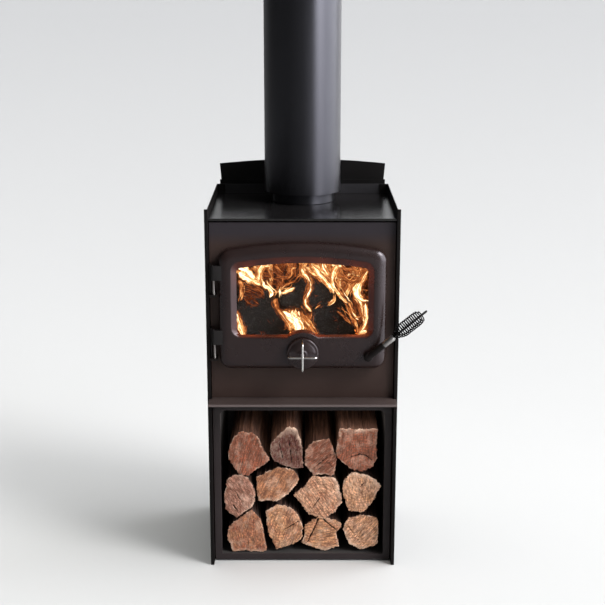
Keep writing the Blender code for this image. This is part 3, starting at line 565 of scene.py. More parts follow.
def dress_casing():
    looks = {"front_plate": PAINT_FRONT, "ash_shelf": SHELF_PAINT_EDGE_HIGHLIGHT, "wood_box_frame": STORE_PAINT_SHADED_TOP,
             "rear_heat_shield": PAINT_REAR, "flue_deflector": PAINT_REAR, "top_plate": PAINT_TOP,
             "back_panel": PAINT_BACK, "side_panel_left": PAINT_SIDE, "side_panel_right": PAINT_SIDE}
    for node in ("side_panel_left", "side_panel_right", "back_panel", "rear_heat_shield", "flue_deflector",
                 "front_plate", "ash_shelf", "wood_box_frame", "base_plate", "top_plate"):
        width = SHELF_EDGE if node in ("ash_shelf", "wood_box_frame") else EDGE
        bevelled(node, looks.get(node, PAINT), "stove_body", width)
    for node, name, wall, rim, look, slot in (
            ("flue_casing", "flue_casing_fine", SHEET, 0.0004, PAINT_FLUE, "stove_paint"),
            ("flue_inner_pipe", "flue_pipe_fine", SHEET, 0.0004, STEEL, "flue_steel"),
            ("flue_spigot", "flue_spigot_fine", SPIGOT_WALL, 0.001, PAINT_FLUE, "stove_paint")):
        low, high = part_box(node)
        pipe = soft_pipe(high.x, high.x - wall, low.z, high.z, rim)
        finish_mesh(name, pipe, look, "stove_body", 60.0, (node,))


# ---------------------------------------------------------------- door

def door_outline(half, bottom, top, arch, corner, bump=0.0):
    """Door-shaped loop: arched top, round corners, and a round bump over the air spinner."""
    bends, rise, base = 10, 28, 24
    arch_up = top - arch
    side_up = arch_up + math.sqrt((arch - corner) ** 2 - (half - corner) ** 2)
    lean = math.atan2(side_up - arch_up, half - corner)
    points = []
    for step in range(bends + 1):
        turn = lean * step / bends
        points.append((half - corner + corner * math.cos(turn), side_up + corner * math.sin(turn)))
    for step in range(1, rise):
        turn = lean + (math.pi - 2 * lean) * step / rise
        points.append((arch * math.cos(turn), arch_up + arch * math.sin(turn)))
    for step in range(bends + 1):
        turn = math.pi - lean + lean * step / bends
        points.append((corner - half + corner * math.cos(turn), side_up + corner * math.sin(turn)))
    for step in range(bends + 1):
        turn = math.radians(180 + 90 * step / bends)
        points.append((corner - half + corner * math.cos(turn), bottom + corner * (1 + math.sin(turn))))
    reach = max(bump, AIR_BUMP)
    edge = math.radians(50)
    if bump:
        edge = math.asin(max(-1.0, min(1.0, (bottom - AIR_Z) / bump)))
    for step in range(base + 1):
        turn = math.pi - edge - (math.pi - 2 * edge) * step / base
        up = AIR_Z + bump * math.sin(turn) if bump else bottom
        points.append((reach * math.cos(turn), max(up, bottom)))
    for step in range(bends + 1):
        turn = math.radians(270 + 90 * step / bends)
        points.append((half - corner + corner * math.cos(turn), bottom + corner * (1 + math.sin(turn))))
    return points


def frame_solid(loops):
    shape = bmesh.new()
    rings = [[shape.verts.new((u, depth, v)) for u, v in loop] for loop, depth in loops]
    join_rings(shape, rings + rings[:1])
    return shape


def inset(shape, by, bump=0.0, corner_share=0.5):
    half, bottom, top, arch, corner = shape
    return door_outline(half - by, bottom + by, top - by, arch - by, corner - by * corner_share, bump)


DOOR_SHAPE = (DOOR_HALF, DOOR_BOTTOM, DOOR_TOP, ARCH_R, DOOR_CORNER)


def build_door():
    outer = DOOR_SHAPE
    window = (WINDOW_HALF, WINDOW_BOTTOM, WINDOW_TOP, ARCH_R - (DOOR_TOP - WINDOW_TOP), WINDOW_CORNER)
    bezel = (0.182, 0.637, 0.852, ARCH_R - 0.031, 0.026)
    pocket = (0.180, 0.632, 0.848, ARCH_R - 0.035, 0.014)
    lip = GLASS_LIP
    loops = [(inset(outer, 0.0), DOOR_BACK)]
    for step in range(ROLL_STEPS + 1):
        turn = math.radians(90 * step / ROLL_STEPS)
        by = ROLL_WIDTH * (1 - math.cos(turn))
        loops.append((inset(outer, by), DOOR_FACE + ROLL_DEPTH * (1 - math.sin(turn))))
    loops.append((door_outline(*bezel, bump=BEZEL_BUMP), DOOR_FACE))
    for step in range(1, 6):
        turn = math.radians(48 * step / 5)
        loops.append((inset(bezel, BEZEL_ROUND * math.sin(turn), BEZEL_BUMP + 0.003 * math.sin(turn)),
                      DOOR_FACE + BEZEL_ROUND * (1 - math.cos(turn))))
    loops.append((door_outline(*window, bump=AIR_BUMP), lip - 0.0028))
    loops.append((inset(window, -0.0003, AIR_BUMP), lip - 0.0012))
    loops.append((door_outline(*window, bump=AIR_BUMP), lip))
    loops.append((door_outline(*pocket), lip))
    loops.append((door_outline(*pocket), DOOR_BACK))
    casting = finish_mesh("door_casting", frame_solid(loops), CAST, "door", 50.0,
                          ("door_frame",))
    holes = [(HANDLE_X, HANDLE_Z, SPINDLE_HOLE_R)]
    for turn in AIR_HOLE_TURNS:
        holes.append((AIR_HOLE_REACH * math.cos(math.radians(turn)),
                      AIR_Z + AIR_HOLE_REACH * math.sin(math.radians(turn)), AIR_HOLE_R))
    drill = bmesh.new()
    for across, up, radius in holes:
        bit = turned([(0, -0.02), (radius, -0.02), (radius, 0.06), (0, 0.06)], (across, DOOR_FACE, up),
                     (0, 1, 0), 32)
        add_shape(drill, bit)
    apply_boolean(casting, drill, "DIFFERENCE")
    build_lugs()


def apply_boolean(target, shape, operation):
    """Cut or join a shape and keep the result as the piece's own mesh."""
    bmesh.ops.recalc_face_normals(shape, faces=shape.faces)
    mesh = bpy.data.meshes.new("cutter")
    shape.to_mesh(mesh)
    shape.free()
    cutter = bpy.data.objects.new("cutter", mesh)
    SCENE.collection.objects.link(cutter)
    step = target.modifiers.new("Boolean", "BOOLEAN")
    step.operation = operation
    step.solver = "EXACT"
    step.object = cutter
    bpy.context.view_layer.update()
    seen = target.evaluated_get(bpy.context.evaluated_depsgraph_get())
    done = bpy.data.meshes.new_from_object(seen)
    target.modifiers.remove(step)
    old = target.data
    target.data = done
    bpy.data.objects.remove(cutter, do_unlink=True)
    bpy.data.meshes.remove(mesh)
    bpy.data.meshes.remove(old)


def build_lugs():
    """Hinge lugs cast on the door: flat blocks with a round end round the pin."""
    for name, low in LUG_LOWS.items():
        high = low + LUG_HIGH
        outline = [(LUG_END, HINGE_Y - LUG_REACH), (LUG_END, HINGE_Y + LUG_REACH)]
        for step in range(17):
            turn = math.radians(90 + 180 * step / 16)
            outline.append((HINGE_X + LUG_REACH * math.cos(turn), HINGE_Y + LUG_REACH * math.sin(turn)))
        shape = bmesh.new()
        bore = []
        for step in range(32):
            turn = math.tau * step / 32
            bore.append((HINGE_X + LUG_BORE_R * math.cos(turn), HINGE_Y + LUG_BORE_R * math.sin(turn)))
        for loop in (outline, bore):
            corners = [shape.verts.new((u, v, low)) for u, v in loop]
            for first, second in zip(corners, corners[1:] + corners[:1]):
                shape.edges.new((first, second))
        bmesh.ops.triangle_fill(shape, use_beauty=True, edges=shape.edges)
        grown = bmesh.ops.extrude_face_region(shape, geom=list(shape.faces))
        moved = [part for part in grown["geom"] if isinstance(part, bmesh.types.BMVert)]
        bmesh.ops.translate(shape, vec=(0, 0, high - low), verts=moved)
        round_edges(shape, 40, 0.0010, 3)
        finish_mesh("hinge_lug_" + name, shape, PAINT, "door", 60.0)


def dress_door():
    build_door()
    for node in ("hinge_bracket_upper", "hinge_bracket_lower"):
        bevelled(node, CAST_DARK, "stove_body", 0.0007)
    bevelled("latch_striker", CAST_DARK, "stove_body", 0.0004)
    for name in ("upper", "lower"):
        low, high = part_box("hinge_pin_" + name)
        middle = (low + high) / 2
        radius = (high.x - low.x) / 2
        length = high.z - low.z
        profile = [(0, 0), (PIN_SHANK_R, 0), (PIN_SHANK_R, PIN_SHANK), (radius, PIN_SHANK + 0.0010),
                   (radius, length - PIN_CHAMFER), (radius - PIN_CHAMFER, length), (0, length)]
        shape = turned(profile, (middle.x, middle.y, low.z), steps=48)
        finish_mesh("hinge_pin_" + name + "_fine", shape, PIN, "stove_body", 50.0,
                    ("hinge_pin_" + name,))


# ---------------------------------------------------------------- air spinner

def build_spinner():
    back = DISC_HIGH.y
    profile = [(0.0045, 0.0035), (0.0115, 0.0035), (0.0125, 0.0003), (AIR_R - 0.0006, 0.0), (AIR_R, 0.0006),
               (AIR_R, 0.0046), (AIR_R - 0.0008, 0.0062), (AIR_R - 0.0025, 0.0074),
               (AIR_R - 0.0045, 0.0076), (AIR_R - 0.0062, 0.0074), (0.0320, 0.0090), (0.0280, 0.0104),
               (0.0240, 0.0115), (0.0200, 0.0124), (0.0160, 0.0131), (0.0118, 0.0134), (0.0112, 0.0138),
               (0.0105, 0.0148), (0.0098, 0.0150), (0.0045, 0.0150)]
    finish_mesh("air_spinner_disc_fine", turned(profile, (0, back, AIR_Z), (0, -1, 0), 96, hollow=True),
                CAST, "air_spinner", 40.0, ("air_spinner_disc",))
    shape = bmesh.new()
    for along, reach in CROSS_BARS:
        bar = bent_wire(Vector(along), CROSS_HALF, back - CROSS_ROOT, back - reach, CROSS_WIRE)
        add_shape(shape, bar)
    finish_mesh("air_spinner_cross_fine", shape, BRIGHT, "air_spinner", 60.0,
                ("air_spinner_cross",))


def bent_wire(along, half, root, front, radius):
    bend = CROSS_BEND
    middle = Vector((0, 0, AIR_Z))
    points = [middle - along * half + Vector((0, root, 0))]
    for end in (-1, 1):
        turns = range(9) if end < 0 else range(8, -1, -1)
        for step in turns:
            turn = math.radians(90 * step / 8)
            out = half - bend + bend * math.cos(turn)
            depth = front + bend - bend * math.sin(turn)
            points.append(middle + along * end * out + Vector((0, depth, 0)))
    points.append(middle + along * half + Vector((0, root, 0)))
    return tube(points, radius, 20)


# ---------------------------------------------------------------- handle

def coil_radius(share):
    if share < COIL_WIDENS:
        rise = 0.5 - 0.5 * math.cos(math.pi * share / COIL_WIDENS)
        return COIL_NECK_R + (COIL_FULL_R - COIL_NECK_R) * rise
    if share < COIL_NARROWS:
        return COIL_FULL_R
    fall = (share - COIL_NARROWS) / 0.20
    return COIL_END_R + (COIL_FULL_R - COIL_END_R) * math.sqrt(max(0.0, 1 - fall ** 2.2))


def build_handle():
    hub = [(0, 0), (0.0105, 0), (0.0110, 0.0005), (0.0110, 0.0145), (0.0104, 0.0162), (0.0088, 0.0175),
           (0, 0.0180)]
    hub_back = DOOR_FACE - 0.003
    arm = finish_mesh("handle_arm_fine", turned(hub, (HANDLE.x, hub_back, HANDLE.z), (0, -1, 0), 48),
                      CAST_DARK, "handle", 40.0, ("handle_arm",))
    long, ferrule, neck = ARM_END, FERRULE_R, FERRULE_END
    bar = [(0, 0), (0.0085, 0), (0.0085, long - 0.0012), (0.0076, long - 0.0002), (0, long)]
    apply_boolean(arm, turned(bar, HANDLE, AHEAD, 48), "UNION")
    arm.data.set_sharp_from_angle(angle=math.radians(40))
    sleeve = [(0, long + 0.0003), (ferrule - 0.0006, long + 0.0003), (ferrule, long + 0.0010),
              (ferrule, neck - 0.0050), (ferrule - 0.0008, neck - 0.0036), (0.0055, neck), (0, neck)]
    finish_mesh("handle_ferrule_fine", turned(sleeve, HANDLE, AHEAD, 48), ZINC, "handle", 40.0,
                ("handle_rod",))
    rod = [(0, neck + 0.0001), (0.0053, neck + 0.0001), (0.0040, neck + 0.006), (0.0028, neck + 0.012),
           (0.0028, 0.1925), (0.0024, 0.1955), (0.0012, ROD_END), (0, ROD_END)]
    finish_mesh("handle_rod_fine", turned(rod, HANDLE, AHEAD, 32), ROD, "handle", 40.0)
    side = AHEAD.cross(Vector((0, 1, 0))).normalized()
    other = AHEAD.cross(side)
    points = []
    for step in range(COIL_TURNS * COIL_STEPS + 1):
        share = step / (COIL_TURNS * COIL_STEPS)
        turn = math.tau * step / COIL_STEPS
        along = COIL_START + (COIL_END - COIL_START) * share
        radius = coil_radius(share)
        points.append(HANDLE + AHEAD * along + radius * (side * math.cos(turn) + other * math.sin(turn)))
    finish_mesh("handle_coil_fine", tube(points, COIL_WIRE, 12), COIL, "handle", 60.0,
                ("handle_coil",))


# ---------------------------------------------------------------- firewood and burning logs

LOG_BACK = 0.080
LOG_SPACING = 0.0012
ROUNDING = 3
SWELL = 0.0022
SPLINTER = 0.0036
END_RINGS = 30
SIDE_ROWS = 18
LOG_LAYERS = {"end": "float", "rim": "float", "crack": "float", "grain": "float_vector",
              "cut": "float_vector", "ringed": "float", "sawn": "float", "tint": "float_color"}

# Tones of split wood, from a fresh cut to old weathered ends
CREAM = (0.76, 0.41, 0.24)
SAND = (0.62, 0.30, 0.14)
HONEY = (0.54, 0.22, 0.11)
TAN = (0.44, 0.18, 0.08)
RUSSET = (0.36, 0.09, 0.04)
CHESTNUT = (0.28, 0.07, 0.03)
UMBER = (0.20, 0.06, 0.03)
MAROON = (0.09, 0.01, 0.01)
DRIFTWOOD = (0.48, 0.23, 0.16)

# Logs of each row from left to right, in millimetres across and up: outline of the sawn end, main tone
# and patches, the rings' centre, the saw's direction, the side of the pale torn edge and how pale it is,
# strength of the rings and of the saw marks, and cracks (start, end, strength)
FIREWOOD = {
    "firewood_top_row": (
        {"outline": ((-194, 297), (-186, 280), (-168, 250), (-143, 244), (-124, 264), (-90, 286),
                     (-110, 322), (-117, 345), (-133, 362), (-167, 364), (-180, 345), (-193, 312)),
         "tones": (CHESTNUT, RUSSET), "pith": (-150, 215), "saw": 75, "pale": (20, 0.3),
         "marks": (0.35, 0.45), "cracks": ()},
        {"outline": ((-83, 307), (-72, 284), (-28, 265), (0, 266), (-3, 300), (-8, 342), (-17, 372),
                     (-36, 377), (-58, 357), (-80, 332)),
         "tones": (MAROON, MAROON), "pith": (-35, 200), "saw": 78, "pale": (75, 1.0),
         "marks": (0.30, 0.75), "cracks": (((-62, 335), (-52, 290), 0.8), ((-36, 340), (-28, 275), 0.9),
                    ((-22, 350), (-12, 285), 0.7))},
        {"outline": ((9, 276), (31, 244), (56, 247), (80, 242), (87, 270), (87, 292), (77, 321),
                     (68, 343), (45, 338), (25, 330), (11, 312)),
         "tones": (CHESTNUT, UMBER), "pith": (60, 320), "saw": 40, "pale": (250, 0.5),
         "marks": (0.35, 0.60), "cracks": (((30, 262), (75, 300), 0.8), ((40, 256), (82, 285), 0.7),
                    ((52, 292), (83, 262), 0.5))},
        {"outline": ((93, 297), (130, 264), (160, 257), (182, 270), (194, 290), (193, 320), (193, 346),
                     (197, 374), (150, 371), (100, 374), (94, 326)),
         "tones": (RUSSET, CHESTNUT), "pith": (150, 250), "saw": 85, "pale": (90, 1.0),
         "marks": (0.70, 0.35), "cracks": (((128, 296), (150, 304), 1.0), ((150, 304), (168, 300), 1.0),
                    ((168, 300), (183, 287), 1.0))},
    ),
    "firewood_middle_row": (
        {"outline": ((-206, 178), (-201, 142), (-176, 125), (-150, 145), (-135, 156), (-130, 180),
                     (-130, 202), (-140, 226), (-161, 242), (-182, 240), (-198, 231)),
         "tones": (DRIFTWOOD, UMBER), "pith": (-280, 150), "saw": 128, "pale": (330, 0.4),
         "marks": (0.55, 0.45), "cracks": (((-176, 190), (-160, 160), 0.8), ((-186, 158), (-170, 136), 0.9))},
        {"outline": ((-120, 206), (-118, 188), (-115, 172), (-70, 171), (-37, 194), (-12, 227),
                     (-16, 240), (-24, 251), (-40, 260), (-62, 262), (-90, 251), (-118, 238)),
         "tones": (TAN, TAN), "pith": (-70, 215), "saw": 60, "pale": (285, 1.0),
         "marks": (0.35, 0.12), "cracks": ()},
        {"outline": ((-22, 184), (0, 158), (17, 132), (40, 125), (60, 121), (86, 138), (104, 169),
                     (99, 194), (92, 215), (83, 233), (55, 234), (28, 236), (6, 206)),
         "tones": (CREAM, HONEY), "pith": (50, 172), "saw": 125, "pale": (20, 0.9),
         "marks": (0.45, 0.35), "cracks": (((46, 176), (22, 140), 0.7), ((78, 214), (85, 196), 0.6))},
        {"outline": ((110, 202), (116, 172), (124, 144), (145, 142), (163, 141), (184, 170), (206, 212),
                     (192, 229), (174, 240), (152, 245), (129, 248), (113, 226)),
         "tones": (CREAM, SAND), "pith": (155, 215), "saw": 95, "pale": (60, 1.0),
         "marks": (0.40, 0.35), "cracks": (((155, 214), (170, 226), 0.7), ((160, 209), (158, 178), 0.5),
                    ((150, 212), (178, 206), 0.5))},
    ),
    "firewood_bottom_row": (
        {"outline": ((-200, 68), (-193, 45), (-186, 26), (-150, 28), (-106, 24), (-99, 36), (-107, 75),
                     (-113, 112), (-136, 143), (-165, 120), (-194, 96)),
         "tones": (TAN, RUSSET), "pith": (-145, 75), "saw": 100, "pale": (250, 0.6),
         "marks": (0.50, 0.45), "cracks": ()},
        {"outline": ((-91, 86), (-80, 55), (-70, 30), (-40, 42), (-14, 52), (-3, 70), (-3, 92),
                     (-11, 119), (-30, 145), (-50, 152), (-68, 155), (-96, 138)),
         "tones": (SAND, HONEY), "pith": (-60, 105), "saw": 70, "pale": (110, 0.5),
         "marks": (0.50, 0.15), "cracks": (((-8, 112), (-45, 88), 0.9), ((-45, 88), (-56, 78), 0.6),
                    ((-20, 100), (-38, 96), 0.6))},
        {"outline": ((0, 46), (30, 34), (61, 26), (97, 37), (92, 55), (88, 75), (103, 94), (92, 108),
                     (70, 114), (44, 118), (10, 98), (7, 70)),
         "tones": (SAND, HONEY), "pith": (50, 150), "saw": 8, "pale": (260, 1.0),
         "marks": (0.45, 0.35), "cracks": (((42, 116), (30, 85), 1.6), ((30, 85), (14, 50), 1.3),
                    ((56, 114), (72, 98), 1.6),
                    ((72, 98), (90, 84), 1.3))},
        {"outline": ((110, 90), (120, 66), (129, 48), (154, 32), (178, 38), (199, 46), (200, 80),
                     (200, 118), (183, 124), (166, 127), (145, 122), (124, 119)),
         "tones": (CREAM, SAND), "pith": (130, 130), "saw": 45, "pale": (225, 0.8),
         "marks": (0.40, 0.30), "cracks": (((140, 62), (166, 92), 0.6), ((120, 100), (150, 56), 0.5))},
    ),
}
BURNING_LOGS = {
    "burning_log_left": ((-165, 740), (-158, 762), (-140, 770), (-112, 764), (-87, 731), (-70, 700),
                          (-46, 656), (-36, 612), (-60, 594), (-140, 594), (-166, 640), (-169, 690)),
    "burning_log_right": ((22, 672), (34, 695), (61, 704), (86, 694), (108, 679), (128, 652),
                           (138, 618), (120, 596), (50, 594), (26, 622)),
    "burning_log_top": ((-54, 724), (-40, 740), (-1, 774), (24, 778), (46, 768), (74, 745), (80, 728),
                         (60, 712), (33, 705), (-12, 696), (-52, 706)),
}
CHARRED_END = {"tones": ((0.02, 0.018, 0.017), (0.03, 0.02, 0.016)), "pith": (0, 650), "saw": 20,
               "pale": (90, 0.2), "marks": (0.45, 0.40), "cracks": ()}


def metres(point):
    return tuple(length / 1000 for length in point)


def resampled(outline, spacing):
    """Points at an even spacing round a closed outline, its corners rounded a little."""
    corners = [Vector(metres(corner)) for corner in outline]
    points = []
    for first, second in zip(corners, corners[1:] + corners[:1]):
        count = max(1, round((second - first).length / spacing))
        points += [first.lerp(second, step / count) for step in range(count)]
    total = len(points)
    window = range(-ROUNDING, ROUNDING + 1)
    return [sum((points[(place + step) % total] for step in window), Vector((0, 0))) / len(window)
            for place in range(total)]


def ragged(points, seed, coarse, fine):
    """Push a closed outline in by noise: slow swells and sharp splinters."""
    middle = sum(points, Vector((0, 0))) / len(points)
    moved = []
    for point in points:
        away = (point - middle).normalized()
        swell = noise.noise(Vector((point.x * 75, point.y * 75, seed)))
        splinter = noise.noise(Vector((point.x * 230, point.y * 230, seed + 7)))
        moved.append(point + away * (0.0030 + coarse * swell + fine * splinter))
    return moved, middle


def along_crack(x, z, cracks, seed):
    """How deep a point lies in a drying crack, from 0 to 1, and how wide that crack is."""
    wander = 0.0016 * noise.noise(Vector((x * 130, z * 130, seed)))
    deepest = 0.0
    for start, end, strength in cracks:
        first = Vector(metres(start))
        run = Vector(metres(end)) - first
        share = max(0.0, min(1.0, (Vector((x, z)) - first).dot(run) / run.length_squared))
        nearest = first + run * share
        gap = abs((Vector((x, z)) - nearest).length + wander)
        width = 0.0011 * strength * (0.55 + 0.45 * math.sin(math.pi * min(1.0, share + 0.2)))
        deepest = max(deepest, math.exp(-(gap / width) ** 2) * min(1.0, strength))
    return deepest


def wood_end(finish, x, z, seed):
    """Colour of the sawn end at one point before the fine grain: patches, streaks and pale places."""
    tint, patch = (Vector(tone) for tone in finish["tones"])
    spread = noise.fractal(Vector((x * 48, z * 48, seed)), 0.7, 2.1, 4)
    share = max(0.0, min(1.0, 0.30 + 0.9 * spread))
    turn = math.radians(finish["saw"])
    along = x * math.cos(turn) + z * math.sin(turn)
    across = z * math.cos(turn) - x * math.sin(turn)
    streak = noise.fractal(Vector((along * 45, across * 520, seed + 3)), 0.6, 2.2, 3)
    colour = tint.lerp(patch, share)
    return colour * (1.0 + 1.10 * streak)


def split_log(name, outline, finish, front, back, look, replaces):
    """A split log: ragged outline, sawn end with relief and cracks, fibrous sides."""
    seed = (sum(ord(letter) for letter in name) % 97) * 1.37
    rim, middle = ragged(resampled(outline, LOG_SPACING), seed, SWELL, SPLINTER)
    shape = bmesh.new()
    for name_of, kind in LOG_LAYERS.items():
        getattr(shape.verts.layers, kind).new(name_of)
    layer = {name_of: getattr(shape.verts.layers, kind)[name_of] for name_of, kind in LOG_LAYERS.items()}
    ringed, sawn = finish["marks"]
    pith = metres(finish["pith"])
    saw_turn = math.radians(finish["saw"])
    pale_turn, pale_power = finish["pale"]
    pale_way = Vector((math.cos(math.radians(pale_turn)), math.sin(math.radians(pale_turn))))
    reach = max((point - middle).length for point in rim)

    def sawn_end(depth, facing):
        rows = []
        for step in range(END_RINGS + 1):
            share = 1 - (step / END_RINGS) ** 1.15
            if step == END_RINGS:
                share = 0.012
            row = []
            for point in rim:
                flat = middle + (point - middle) * share
                fibre = noise.fractal(Vector((flat.x * 240, flat.y * 240, seed)), 0.8, 2.0, 3)
                crack = along_crack(flat.x, flat.y, finish["cracks"], seed) if facing > 0 else 0.0
                edge = max(0.0, 1 - (point - flat).length / 0.0045)
                rough = abs(noise.noise(Vector((flat.x * 160, flat.y * 160, seed))))
                torn = edge * edge * (0.0008 + 0.0016 * rough)
                down = 0.0006 + 0.0005 * fibre + 0.0055 * crack + torn
                corner = shape.verts.new((flat.x, depth + facing * down, flat.y))
                side = max(0.0, (point - middle).dot(pale_way) / reach)
                near = max(0.0, 1 - (point - flat).length / (0.0035 + 0.015 * side * pale_power))
                corner[layer["end"]] = 1.0
                corner[layer["ringed"]] = ringed
                corner[layer["sawn"]] = sawn
                patchy = max(0.0, 0.25 + 1.9 * noise.noise(Vector((flat.x * 70, flat.y * 70, seed + 5))))
                corner[layer["rim"]] = near * min(1.0, 0.60 * patchy + 0.60 * side * pale_power)
                corner[layer["cut"]] = (flat.x * math.cos(saw_turn) + flat.y * math.sin(saw_turn),
                                        flat.y * math.cos(saw_turn) - flat.x * math.sin(saw_turn), seed)
                corner[layer["crack"]] = crack
                corner[layer["grain"]] = (flat.x - pith[0], flat.y - pith[1], seed)
                corner[layer["tint"]] = (*wood_end(finish, flat.x, flat.y, seed), 1.0)
                row.append(corner)
            rows.append(row)
        return rows

    near_rows = sawn_end(front, 1)
    far_rows = sawn_end(back, -1)
    sides = []
    for step in range(SIDE_ROWS + 1):
        share = step / SIDE_ROWS
        depth = front + 0.0035 + (back - front - 0.007) * share
        row = []
        for place, point in enumerate(rim):
            away = (point - middle).normalized()
            ridge = noise.fractal(Vector((point.x * 260, depth * 9, point.y * 260 + seed)), 0.7, 2.1, 3)
            bend = 0.5 + 0.5 * noise.noise(Vector((depth * 11, seed, place * 0.01)))
            down = 0.0002 + 0.0011 * max(0.0, ridge + 0.35) + 0.0020 * bend * math.sin(math.pi * share)
            spot = point - away * down
            corner = shape.verts.new((spot.x, depth, spot.y))
            corner[layer["grain"]] = (spot.x - pith[0], spot.y - pith[1], seed)
            corner[layer["tint"]] = (*finish["tones"][0], 1.0)
            row.append(corner)
        sides.append(row)
    rows = near_rows[::-1] + sides + far_rows
    join_rings(shape, rows)
    shape.faces.new(rows[0])
    shape.faces.new(rows[-1])
    return finish_mesh(name, shape, look, "stove_body", 60.0, replaces)


def build_firewood():
    for row, logs in FIREWOOD.items():
        for place, log in enumerate(logs):
            front = STORE_FRONT + 0.008 + 0.003 * (place % 3)
            replaces = (row,) if place == 0 else ()
            name = f"{row[:-4]}_log_{place + 1}"
            split_log(name, log["outline"], log, front, LOG_BACK, WOOD, replaces)


def build_burning_logs():
    for node, outline in BURNING_LOGS.items():
        low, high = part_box(node)
        split_log(node + "_charred", outline, CHARRED_END, low.y + 0.001, high.y - 0.001, CHAR,
                  (node,))


def build_embers():
    """Bed of glowing coals: a grid whose top is heaped into lumps."""
    low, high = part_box("ember_bed")
    across, deep = 150, 110
    shape = bmesh.new()
    rows = []
    for step in range(deep + 1):
        row = []
        for place in range(across + 1):
            x = low.x + (high.x - low.x) * place / across
            y = low.y + (high.y - low.y) * step / deep
            near, places = noise.voronoi(Vector((x * 55, y * 55, 0.3)))
            lump = max(0.0, min(1.0, (near[1] - near[0]) * 2.2))
            size = 0.5 + 0.5 * noise.noise(places[0] * 3.1)
            swell = 0.5 + 0.5 * noise.noise(Vector((x * 14, y * 14, 2.0)))
            edge = min(place, across - place, step, deep - step)
            crown = min(1.0, edge / 8)
            z = 0.548 + 0.020 * swell * crown + 0.015 * math.sqrt(lump) * size * crown
            row.append(shape.verts.new((x, y, z)))
        rows.append(row)
    for row, after in zip(rows, rows[1:]):
        for place in range(across):
            shape.faces.new((row[place], row[place + 1], after[place + 1], after[place]))
    rim = [edge for edge in shape.edges if edge.is_boundary]
    grown = bmesh.ops.extrude_edge_only(shape, edges=rim)
    foot = [part for part in grown["geom"] if isinstance(part, bmesh.types.BMVert)]
    for corner in foot:
        corner.co.z = low.z
    bmesh.ops.holes_fill(shape, edges=[edge for edge in shape.edges if edge.is_boundary])
    finish_mesh("ember_coals", shape, EMBER, "stove_body", 70.0, ("ember_bed",))


# ---------------------------------------------------------------- pieces behind the door and in the store

INSIDE = {
    "stove_body": ("shield_spacer_left", "shield_spacer_right", "firebox_wall_left", "firebox_wall_right",
                   "firebox_wall_back", "firebox_floor_plate", "baffle_plate", "baffle_rest_left",
                   "baffle_rest_right", "firebrick_floor", "firebrick_left", "firebrick_right",
                   "firebrick_back", "flue_spacer",
                   "wood_box_floor", "wood_box_side_left", "wood_box_side_right", "wood_box_back"),
    "door": ("glass_retainer_lower", "glass_retainer_upper", "air_baffle", "air_spinner_stud"),
    "air_screw": ("air_spinner_washer",),
    "handle": ("handle_spindle", "latch_tongue"),
}
EDGE_WIDTHS = {"firebrick": 0.0030, "vermiculite_board": 0.0015, "bright_steel": 0.0003, "flue_steel": 0.0003}


def dress_inside():
    slots = {subpart["node"]: subpart["material_slot"] for subpart in frame["record"]["subparts"]}
    for body, nodes in INSIDE.items():
        for node in nodes:
            look = PAINT_INSIDE if node.startswith(("wood_box", "firebox_floor")) else LOOKS[slots[node]]
            bevelled(node, look, body, EDGE_WIDTHS.get(slots[node], EDGE))
    rope_ring("door_rope_seal", DOOR_SHAPE, 0.0130, 0.0050)
    rope_ring("glass_seal", (0.178, 0.634, 0.846, ARCH_R - 0.037, 0.012), 0.0040, 0.0040)


def rope_ring(node, outline, inset_by, half_width):
    """A flattened rope laid along a door-shaped loop."""
    low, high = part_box(node)
    middle = (low.y + high.y) / 2
    half_depth = (high.y - low.y) / 2
    loops = []
    for step in range(12):
        turn = math.tau * step / 12
        loops.append((inset(outline, inset_by - half_width * math.cos(turn)),
                      middle + half_depth * math.sin(turn)))
    finish_mesh(node + "_fine", frame_solid(loops), ROPE, "door", 60.0, (node,))


# ---------------------------------------------------------------- flames

